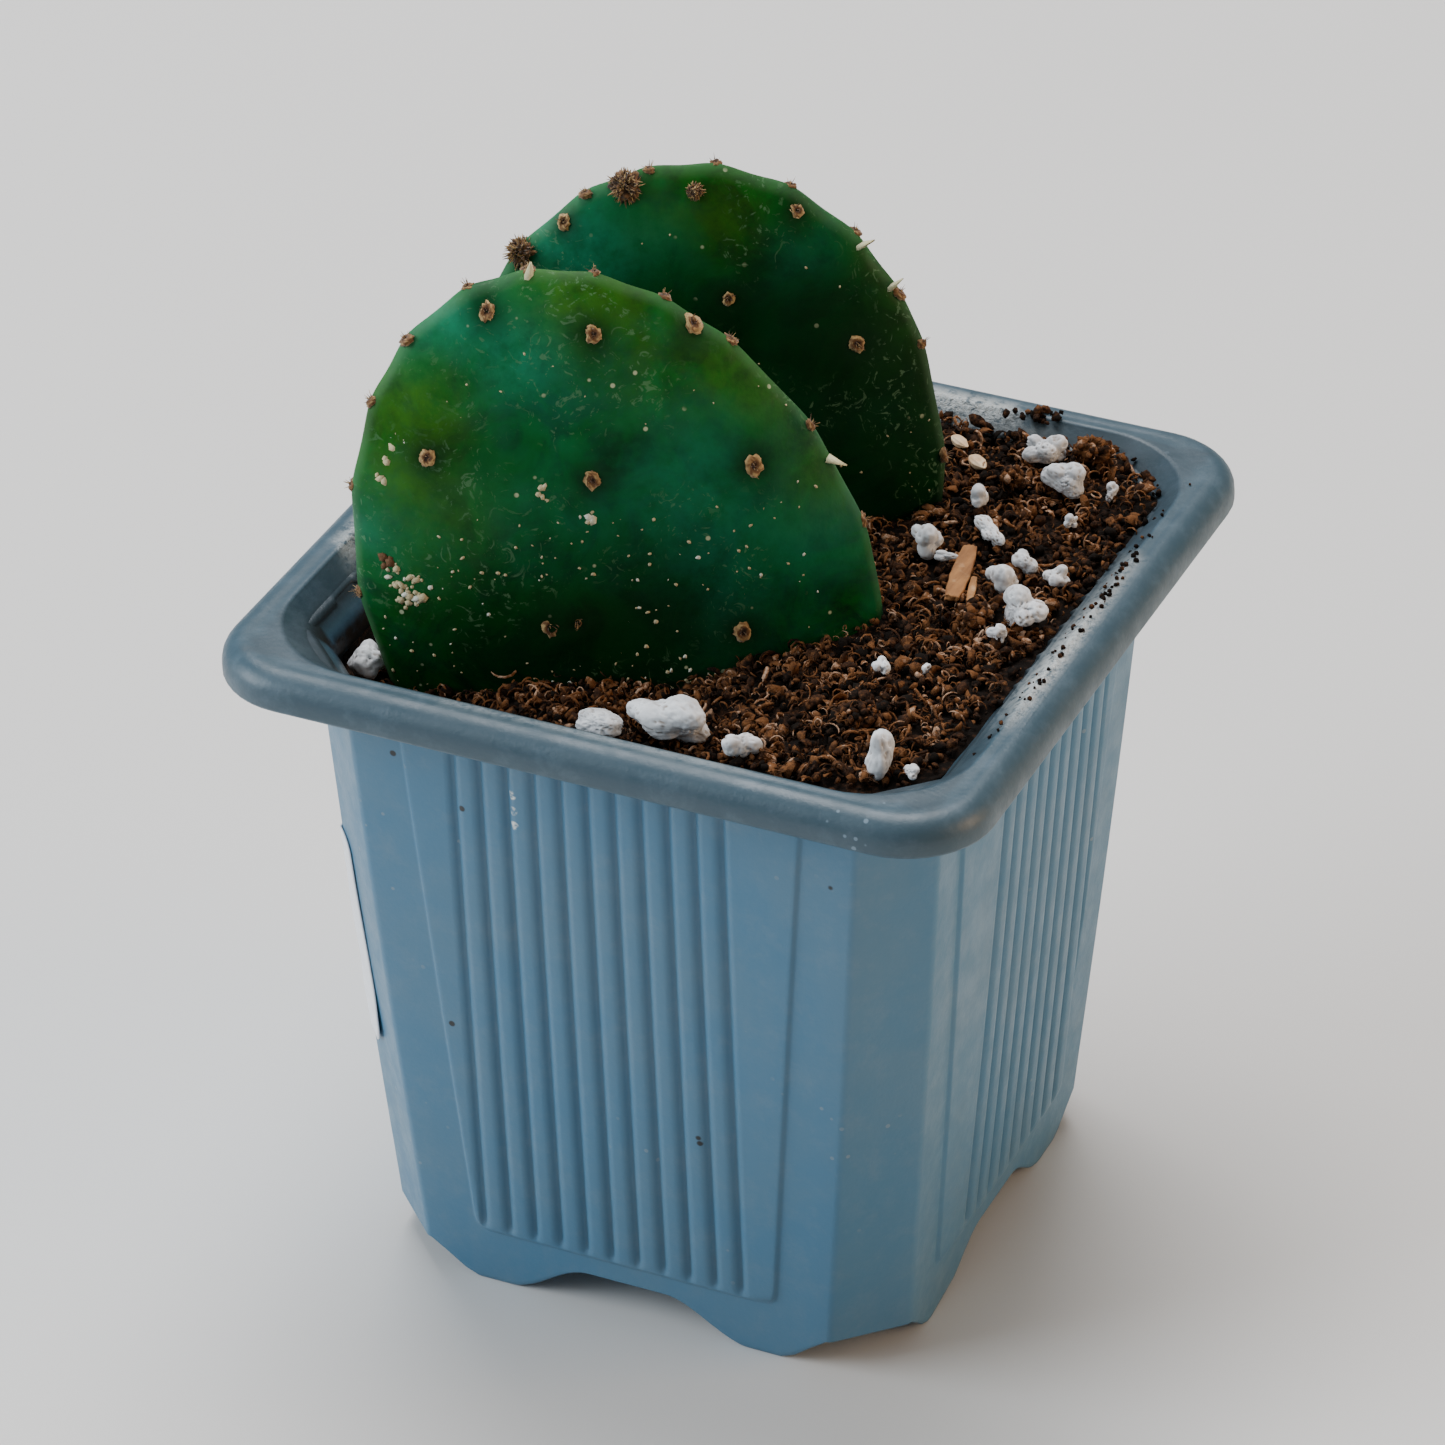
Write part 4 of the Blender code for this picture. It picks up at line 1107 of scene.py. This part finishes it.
for level in PLUG_ROWS:
    made = bmesh.ops.extrude_edge_only(bm, edges=lip)["geom"]
    half = soil_half(level) - 0.2 * MM
    for vert in [item for item in made if isinstance(item, bmesh.types.BMVert)]:
        shrink = half / max(abs(vert.co.x), abs(vert.co.y), soil_half(vert.co.z) - 1.5 * MM)
        x, y = vert.co.x * shrink, vert.co.y * shrink
        over = max(0.0, abs(x) + abs(y) - 2 * half + CORNER_LEG) / 2
        vert.co = Vector((math.copysign(abs(x) - over, x), math.copysign(abs(y) - over, y), level))
    lip = [item for item in made if isinstance(item, bmesh.types.BMEdge) and item.is_boundary]
bmesh.ops.edgeloop_fill(bm, edges=[edge for edge in bm.edges if edge.is_boundary])
bmesh.ops.recalc_face_normals(bm, faces=bm.faces[:])
plug = mesh_object("soil_plug", bm)


def fragment(name, sides, rings, curl, width, thick, twist):
    """A torn piece one unit long: a thin lens drawn out along an arc of 'curl' degrees."""
    bm = bmesh.new()
    bmesh.ops.create_uvsphere(bm, u_segments=sides, v_segments=rings, radius=1.0)
    bend = math.radians(curl)
    for vert in bm.verts:
        flat = Vector((vert.co.x * width / 2, vert.co.y * thick / 2))
        turned = Matrix.Rotation(twist * vert.co.z, 2) @ flat
        angle = bend * vert.co.z / 2
        radius = 1 / bend + turned.y
        vert.co = Vector((radius * math.sin(angle), turned.x, radius * math.cos(angle) - 1 / bend))
    bmesh.ops.recalc_face_normals(bm, faces=bm.faces[:])
    return bare_mesh(name, bm)


def crumb(name, dice):
    """A lumpy crumb one unit across."""
    bm = bmesh.new()
    bmesh.ops.create_icosphere(bm, subdivisions=1, radius=0.5)
    for vert in bm.verts:
        vert.co *= dice.uniform(0.6, 1.15)
    return bare_mesh(name, bm)


def scatter(name, shapes, pieces):
    """One object from many small copies: (which shape, its matrix, its tone) for each."""
    bm = bmesh.new()
    tones = []
    for which, matrix, shade in pieces:
        copy = shapes[which].copy()
        copy.transform(matrix)
        bm.from_mesh(copy)
        tones += [shade] * len(copy.vertices)
        bpy.data.meshes.remove(copy)
    obj = mesh_object(name, bm)
    point_values(obj, "tone", tones)
    return obj


PAD_REACH = 18.0


def clear_of_pads(point, margin):
    """Whether a point stands at least a margin (mm) off both pads' flesh."""
    for pad in (FRONT_PAD, REAR_PAD):
        side, depth, rise = pad.matrix.inverted() @ point / MM
        spread = math.hypot(*pad.unit(side, rise))
        if spread < 1 + margin / PAD_REACH and abs(depth) < pad.thickness(side, rise) + margin:
            return False
    return True


def loose_place(dice, edge):
    """A random spot on the soil, drawn in from the soil's edge by the given share."""
    x, y = dice.uniform(-1, 1), dice.uniform(-1, 1)
    share = corner_share(x, y) * edge
    half = soil_half(soil_height(x * LIP_HALF, y * LIP_HALF))
    x, y = x * share * half, y * share * half
    return Vector((x, y, soil_height(x, y) + 0.35 * MM * noise.noise(Vector((x, y, 0)) * SOIL_LUMPS)))


def tumbled(dice, flat):
    """A random turn about Z, then a tilt that stays small for flat = 1."""
    tilt = (1 - flat) * math.pi
    turn = Matrix.Rotation(dice.uniform(0, 2 * math.pi), 4, "Z")
    for axis in "XY":
        turn = turn @ Matrix.Rotation(dice.gauss(0, 0.35) * tilt, 4, axis)
    return turn


def raised(point, lift):
    return Matrix.Translation(point + Vector((0, 0, lift)))


dice = random.Random(7)
shapes = [crumb(f"crumb_shape_{number}", dice) for number in range(CRUMB_KINDS)]
pieces = []
while len(pieces) < CRUMBS:
    size = 0.30 + 1.1 * dice.random() ** 2.4
    point = loose_place(dice, 0.985)
    if clear_of_pads(point, size * 0.35):
        dry = noise.noise(point * DRY_PATCHES) * 0.35 + dice.uniform(-0.25, 0.35)
        lift = raised(point, dice.uniform(-0.25, 0.35) * size * MM)
        wide, high = size * dice.uniform(0.7, 1.3) * MM, size * dice.uniform(0.5, 0.9) * MM
        grow = Matrix.Diagonal((wide, size * MM, high, 1))
        kind = dice.randrange(CRUMB_KINDS)
        pieces.append((kind, lift @ tumbled(dice, 0.2) @ grow, clamp(0.20 + dry)))
# A clot of crumbs on the back rim, then dust along the rim's +X side.
for _ in range(RIM_CLOT_CRUMBS):
    spot = Vector((dice.gauss(13.2, 0.8), dice.gauss(27.0, 0.4), 56.1 + dice.uniform(0, 0.9))) * MM
    size = dice.uniform(0.3, 1.1) * MM
    kind = dice.randrange(CRUMB_KINDS)
    place = raised(spot, 0.0) @ tumbled(dice, 0.1) @ Matrix.Diagonal((size, size, size * 0.7, 1))
    pieces.append((kind, place, dice.uniform(0.1, 0.5)))
for _ in range(RIM_CRUMBS):
    x, y = dice.uniform(25.4, 27.6), dice.gauss(3, 11)
    slope = (LIP_HALF / MM - x) * 1.45 if x < LIP_HALF / MM else 0.0
    size = dice.uniform(0.15, 0.55) * MM
    spot = Vector((x, clamp(y, -20.0, 22.0), POT_HEIGHT / MM - slope + 0.05)) * MM
    place = raised(spot, 0.0) @ tumbled(dice, 0.1) @ Matrix.Scale(size, 4)
    pieces.append((dice.randrange(CRUMB_KINDS), place, dice.uniform(0.0, 0.4)))
crumbs = scatter("soil_crumbs", shapes, pieces)

shapes = []
for number in range(FRAGMENT_KINDS):
    curl, width, twist = dice.uniform(90, 280), dice.uniform(0.25, 0.6), dice.uniform(-1.2, 1.2)
    shapes.append(fragment(f"flake_shape_{number}", 6, 6, curl, width, 0.08, twist))
pieces = []
while len(pieces) < FLAKES:
    length = 0.6 + 1.6 * dice.random() ** 2.0
    point = loose_place(dice, 0.97)
    if clear_of_pads(point, length * 0.22):
        dry = noise.noise(point * DRY_PATCHES) * 0.3 + dice.uniform(-0.3, 0.4)
        lift = raised(point, dice.uniform(0.05, 0.55) * MM)
        kind = dice.randrange(FRAGMENT_KINDS)
        place = lift @ tumbled(dice, 0.35) @ Matrix.Scale(length * MM, 4)
        pieces.append((kind, place, clamp(0.5 + dry)))
flakes = scatter("soil_flakes", shapes, pieces)

shapes = [
    fragment(f"fibre_shape_{number}", 4, 9, dice.uniform(120, 400), 0.10, 0.07, 0.0)
    for number in range(FRAGMENT_KINDS)
]
pieces = []
while len(pieces) < FIBRES:
    length = 0.9 + 2.2 * dice.random() ** 2.2
    point = loose_place(dice, 0.95)
    if clear_of_pads(point, 0.2):
        lift = raised(point, dice.uniform(0.25, 0.9) * MM)
        shade = clamp(0.62 + dice.uniform(-0.35, 0.35))
        kind = dice.randrange(FRAGMENT_KINDS)
        pieces.append((kind, lift @ tumbled(dice, 0.45) @ Matrix.Scale(length * MM, 4), shade))
fibres = scatter("soil_fibres", shapes, pieces)

PEAT_BLACK = (0.006, 0.0035, 0.002, 1.0)
PEAT_DARK = (0.040, 0.017, 0.008, 1.0)
PEAT_RUST = (0.175, 0.070, 0.024, 1.0)
PEAT_DRY = (0.46, 0.29, 0.19, 1.0)

peat = Shader("peat", 0.95, Specular_IOR_Level=0.15)
broken = peat.math("ADD", peat.noise(2300, 5, 0.75), peat.noise(480, 3, 0.6))
shade = peat.uneven("tone", broken, 1.5, 1.58)
peat.colour(peat.blend(peat.ramp(shade, 0.0, 0.3), PEAT_BLACK, PEAT_DARK))
peat.coat(peat.ramp(shade, 0.25, 0.65), PEAT_RUST)
peat.coat(peat.ramp(shade, 0.72, 1.0), PEAT_DRY)
peat.bump(peat.noise(2600, 4, 0.7), 0.16 * MM, 1.0)
point_values(plug, "tone", [0.06] * len(plug.data.vertices))
heaps = [plug, crumbs, flakes, fibres]
peat.paint(heaps)
for heap in heaps:
    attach(heap, "root")
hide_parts("soil")


# ---------------------------------------------------------------------------
# Peat lumps: four clods of matted peat, each a rough core with crumbs and fibres felted on to it.


def grain_frame(name):
    """Where a loose grain of the CAD lies: its middle, its turn about Z, and its half sizes so turned."""
    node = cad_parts[name]
    spots = [node.matrix_world @ vert.co for vert in node.data.vertices]
    middle = sum(spots, Vector()) / len(spots)
    off = [spot - middle for spot in spots]
    spread = sum(p.x * p.x - p.y * p.y for p in off)
    turn = Matrix.Rotation(0.5 * math.atan2(2 * sum(p.x * p.y for p in off), spread), 4, "Z")
    turned = [turn.inverted() @ p for p in off]
    return middle, turn, Vector([max(abs(p[axis]) for p in turned) for axis in range(3)])


def any_way(dice):
    return Vector([dice.gauss(0, 1) for _ in range(3)]).normalized()


def stretched(co, half, tall=1.0):
    """A point of the unit ball, drawn out to a grain's half sizes."""
    return Vector((co.x * half.x, co.y * half.y, co.z * half.z * tall))


def set_down(bm, middle, turn, sink=0.0):
    """Moves a grain shaped round the origin to its place, sunk a little into the soil."""
    place = Matrix.Translation(middle - Vector((0, 0, sink))) @ turn
    bmesh.ops.transform(bm, matrix=place, verts=bm.verts[:])


LUMP_CRUMB_KINDS = 6
LUMP_FIBRE = 6
LUMP_KINDS = (0, 1, 2, 3, 4, 5, LUMP_FIBRE, LUMP_FIBRE, 7, 7)
LUMP_PIECES = 150

dice = random.Random(19)
shapes = [crumb(f"lump_shape_{number}", dice) for number in range(LUMP_CRUMB_KINDS)]
shapes.append(fragment("lump_fibre_shape", 4, 9, 150, 0.07, 0.06, 0.0))
shapes.append(fragment("lump_flake_shape", 6, 6, 120, 0.5, 0.09, 0.4))
for number in range(1, 5):
    middle, turn, half = grain_frame(f"peat_lump_{number:02d}")
    bm = bmesh.new()
    bmesh.ops.create_icosphere(bm, subdivisions=4, radius=1.0)
    for vert in bm.verts:
        broad = 0.30 * noise.noise(vert.co * 2.2 + Vector((number * 9, 0, 0)))
        vert.co = stretched(vert.co, half, 1.1) * (1 + broad + 0.16 * noise.noise(vert.co * 6.5))
    set_down(bm, middle, turn, 0.3 * MM)
    core = mesh_object(f"peat_lump_core_{number}", bm)
    point_values(core, "tone", [0.22 + 0.05 * number] * len(core.data.vertices))
    pieces = []
    for _ in range(LUMP_PIECES):
        way = any_way(dice)
        spot = middle + turn @ stretched(way, half) * dice.uniform(0.85, 1.1)
        kind = dice.choice(LUMP_KINDS)
        size = (dice.uniform(0.9, 2.0) if kind == LUMP_FIBRE else dice.uniform(0.3, 0.95)) * MM
        place = raised(spot, 0.0) @ tumbled(dice, 0.0) @ Matrix.Scale(size, 4)
        pieces.append((kind, place, clamp(dice.gauss(0.5, 0.22))))
    felted = scatter(f"peat_lump_felt_{number}", shapes, pieces)
    peat.paint([core, felted])
    for piece in (core, felted):
        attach(piece, "root")
    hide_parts(f"peat_lump_{number:02d}")


# ---------------------------------------------------------------------------
# Perlite: popped volcanic glass. Each grain is a white, knobbly lump of a few fused bubbles, pitted where
# bubbles broke, with painted shade greying its pits and creases and a little peat dust in its hollows.

PERLITE_SINK = 0.05 * MM
PERLITE_GRAINS = 21
LOBES = 7
LOBE_MERGE = 14
LARGE_GRAIN = 1.4 * MM
PIT_DEPTH = 0.20
POCK_DEPTH = 0.08


def lobed(way, lobes):
    """How far a cluster of fused balls reaches in one direction."""
    total = 0.0
    for seat, radius in lobes:
        along = way.dot(seat)
        rest = radius ** 2 - seat.length_squared + along ** 2
        if rest > 0:
            total += max(0.0, along + math.sqrt(rest)) ** LOBE_MERGE
    return total ** (1 / LOBE_MERGE)


dice = random.Random(23)
grains = []
for number in range(1, PERLITE_GRAINS + 1):
    middle, turn, half = grain_frame(f"perlite_{number:02d}")
    lobes = []
    for _ in range(LOBES):
        way = any_way(dice)
        lobes.append((way * dice.uniform(0.42, 0.66), dice.uniform(0.34, 0.52)))
    lobes.append((Vector((0, 0, 0)), 0.60))
    bm = bmesh.new()
    bmesh.ops.create_icosphere(bm, subdivisions=5 if half.x > LARGE_GRAIN else 4, radius=1.0)
    pit_shade_and_dust = bm.verts.layers.float.new("pit_shade_and_dust")
    fine = 0.9 * MM / max(half)
    for vert in bm.verts:
        way = vert.co.normalized()
        pit = noise.noise(way * 3.4 / fine * 0.9 + Vector((number * 3, 0, 0)))
        pock = noise.noise(way * 9.0 / fine + Vector((0, number * 3, 0)))
        dent = ease(0.20, 0.5, pit) * PIT_DEPTH + ease(0.22, 0.5, pock) * POCK_DEPTH
        reach = lobed(way, lobes) * (1 + 0.05 * noise.noise(way * 2.0 / fine)) - dent * fine
        # Painted shade and dust: most in the pits, some in the creases between bubbles.
        vert[pit_shade_and_dust] = min(1.0, dent * 6 + ease(0.55, 0.35, reach) * 0.4)
        vert.co = stretched(way, half, 1.35) * reach * 1.22
    set_down(bm, middle, turn, PERLITE_SINK)
    bmesh.ops.recalc_face_normals(bm, faces=bm.faces[:])
    grain = mesh_object(f"perlite_grain_{number:02d}", bm)
    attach(grain, "root")
    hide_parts(f"perlite_{number:02d}")
    grains.append(grain)

GLASS_WHITE = (0.82, 0.83, 0.84, 1.0)
GLASS_GREY = (0.52, 0.53, 0.55, 1.0)
GLASS_DUSTY = (0.28, 0.21, 0.15, 1.0)

perlite = Shader("perlite", 0.8)
streaked = perlite.blend(perlite.ramp(perlite.noise(900, 4, 0.6), 0.3, 0.7), GLASS_WHITE, GLASS_GREY)
perlite.colour(perlite.blend(perlite.ramp(perlite.noise(300, 2), 0.25, 0.6), GLASS_WHITE, streaked))
# Painted shade greys the pits and the creases between the bubbles; peat dust lies in them too.
perlite.coat(perlite.times(perlite.value("pit_shade_and_dust"), 0.75), GLASS_GREY)
dusty = perlite.ramp(perlite.noise(700, 3), 0.45, 0.65)
perlite.coat(perlite.times(perlite.value("pit_shade_and_dust"), dusty), GLASS_DUSTY)
perlite.bump(perlite.cells(1700), 0.06 * MM, 0.6)
perlite.bump(perlite.noise(3000, 3), 0.04 * MM, 0.6)
perlite.paint(grains)


# ---------------------------------------------------------------------------
# Husks: two pale, papery seed husks, each a curled, ribbed shell lying on the soil near the back wall.

HUSK_RIBS = 9
HUSK_SINK = 0.15 * MM
HUSK_BROWN = (0.62, 0.40, 0.22, 1.0)
HUSK_PALE = (0.78, 0.62, 0.42, 1.0)
HUSK_DARK = (0.22, 0.09, 0.03, 1.0)

husks = []
for number in (1, 2):
    middle, turn, half = grain_frame(f"husk_{number:02d}")
    bm = bmesh.new()
    bmesh.ops.create_uvsphere(bm, u_segments=40, v_segments=28, radius=1.0)
    for vert in bm.verts:
        length = vert.co.z
        angle = math.atan2(vert.co.y, vert.co.x)
        rib = 1 + 0.07 * math.sin(angle * HUSK_RIBS + number) + 0.05 * noise.noise(vert.co * 3)
        narrow = (1 - 0.35 * ease(0.2, 1.0, length)) * rib
        open_side = 0.55 * math.exp(-((vert.co.x / 0.35) ** 2)) if vert.co.y > 0 else 0.0
        x = length * half.x * 1.05
        y = vert.co.x * half.y * narrow
        z = vert.co.y * half.z * narrow * (1 - open_side) + 0.25 * half.z * length ** 2
        vert.co = Vector((x, y, z))
    set_down(bm, middle, turn, HUSK_SINK)
    bmesh.ops.recalc_face_normals(bm, faces=bm.faces[:])
    shell = mesh_object(f"husk_shell_{number}", bm)
    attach(shell, "root")
    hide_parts(f"husk_{number:02d}")
    husks.append(shell)

chaff = Shader("husk", 0.6)
chaff.colour(chaff.blend(chaff.ramp(chaff.noise(700, 4, 0.6), 0.3, 0.7), HUSK_BROWN, HUSK_PALE))
chaff.coat(chaff.ramp(chaff.noise(420, 2), 0.55, 0.7, 0.0, 0.8), HUSK_DARK)
chaff.bump(chaff.noise(2200, 3), 0.05 * MM, 0.7)
chaff.paint(husks)


# ---------------------------------------------------------------------------
# Bark: a long splinter and a short one of orange-brown pine bark, split along the grain, with torn ends.

BARK_ORANGE = (0.42, 0.19, 0.06, 1.0)
BARK_BROWN = (0.20, 0.08, 0.025, 1.0)
BARK_PALE = (0.58, 0.36, 0.18, 1.0)

chips = []
for number in (1, 2):
    middle, turn, half = grain_frame(f"bark_chip_{number:02d}")
    bm = bmesh.new()
    bmesh.ops.create_cube(bm, size=2.0)
    for axis, cuts in ((0, 60), (1, 9), (2, 3)):
        run = [edge for edge in bm.edges if abs(edge.verts[0].co[axis] - edge.verts[1].co[axis]) > 1]
        bmesh.ops.subdivide_edges(bm, edges=run, cuts=cuts, use_grid_fill=axis > 0)
    for vert in bm.verts:
        x, y, z = vert.co
        split = noise.noise(Vector((number * 5, y * 3.5, z)))
        long = half.x * (1 + 0.10 * split) * x
        wide = half.y * y * (1 - 0.30 * x * x + 0.10 * noise.noise(Vector((x * 4, number, 0))))
        ridge = 0.25 * noise.noise(Vector((x * 1.5, y * 6, number)))
        ridge += 0.12 * noise.noise(Vector((x * 14, y * 9, 3)))
        thick = half.z * (z * (1 - 0.35 * abs(y) ** 3) + (ridge if z > 0 else 0.0) + 0.35 * x * x)
        vert.co = Vector((long, wide, thick))
    set_down(bm, middle, turn)
    bmesh.ops.recalc_face_normals(bm, faces=bm.faces[:])
    chip = mesh_object(f"bark_splinter_{number}", bm)
    soften = chip.modifiers.new("worn edges", "SUBSURF")
    soften.levels = 1
    soften.render_levels = 1
    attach(chip, "root")
    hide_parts(f"bark_chip_{number:02d}")
    chips.append(chip)

bark = Shader("bark", 0.8)
grain_way = bark.stretch((1.0, 0.22, 1.0))
fibrous = bark.ramp(bark.noise(900, 4, 0.6, 0.0, grain_way), 0.3, 0.7)
bark.colour(bark.blend(fibrous, BARK_ORANGE, BARK_BROWN))
bark.coat(bark.ramp(bark.noise(520, 3, 0.6), 0.55, 0.75), BARK_PALE)
bark.bump(bark.noise(1800, 3, 0.6, 0.0, grain_way), 0.10 * MM, 0.8)
bark.paint(chips)


# ---------------------------------------------------------------------------
# Studio: a plain pale floor, one large soft light overhead and behind, a cool one from the left and a weak
# warm one from the right, with the camera looking down on the front corner.

CAMERA_AZIMUTH = math.radians(24.32)
CAMERA_HEIGHT_ANGLE = math.radians(32.53)
CAMERA_ROLL = math.radians(-0.43)
CAMERA_DISTANCE = 546.2 * MM
CAMERA_LENS = 174.1
LOOK_AT = Vector((-8.8, 16.5, 29.2)) * MM
LIT_POINT = Vector((0, 0, 40.0)) * MM
FLOOR_HALF = 1.5
FLOOR_GREY = (0.70, 0.69, 0.67, 1.0)
FLOOR_PALE = (0.76, 0.75, 0.73, 1.0)
SKY_COLOUR = (0.86, 0.90, 0.95, 1.0)
SKY_STRENGTH = 0.30

bm = bmesh.new()
bmesh.ops.create_grid(bm, x_segments=1, y_segments=1, size=FLOOR_HALF)
floor = mesh_object("floor", bm)
boards = Shader("floor_paint", 0.6)
boards.colour(boards.blend(boards.noise(6, 3), FLOOR_GREY, FLOOR_PALE))
boards.paint([floor])

world = bpy.data.worlds.new("studio")
world.use_nodes = True
sky = world.node_tree.nodes["Background"]
sky.inputs["Color"].default_value = SKY_COLOUR
sky.inputs["Strength"].default_value = SKY_STRENGTH
bpy.context.scene.world = world


def soft_light(name, size, power, colour, place):
    """A square area light that points at the plant."""
    data = bpy.data.lights.new(name, "AREA")
    data.size = size
    data.energy = power
    data.color = colour
    light = bpy.data.objects.new(name, data)
    light.location = place
    light.rotation_euler = (LIT_POINT - Vector(place)).to_track_quat("-Z", "Y").to_euler()
    bpy.context.scene.collection.objects.link(light)


soft_light("light_overhead", 0.5, 7.6, (0.98, 0.98, 1.0), (-0.15, 0.25, 0.75))
soft_light("light_left", 0.6, 9.2, (0.85, 0.93, 1.0), (-0.75, -0.45, 0.45))
soft_light("light_right", 0.4, 2.6, (1.0, 0.66, 0.36), (0.7, 0.15, 0.25))

back = Vector((
    math.sin(CAMERA_AZIMUTH) * math.cos(CAMERA_HEIGHT_ANGLE),
    -math.cos(CAMERA_AZIMUTH) * math.cos(CAMERA_HEIGHT_ANGLE),
    math.sin(CAMERA_HEIGHT_ANGLE),
))
camera = bpy.data.objects.new("camera", bpy.data.cameras.new("camera"))
camera.data.sensor_width = 36.0
camera.data.lens = CAMERA_LENS
camera.data.clip_start = 0.01
camera.location = LOOK_AT + back * CAMERA_DISTANCE
look = (-back).to_track_quat("-Z", "Y").to_matrix() @ Matrix.Rotation(CAMERA_ROLL, 3, "Z")
camera.rotation_euler = look.to_euler()
bpy.context.scene.collection.objects.link(camera)
bpy.context.scene.camera = camera
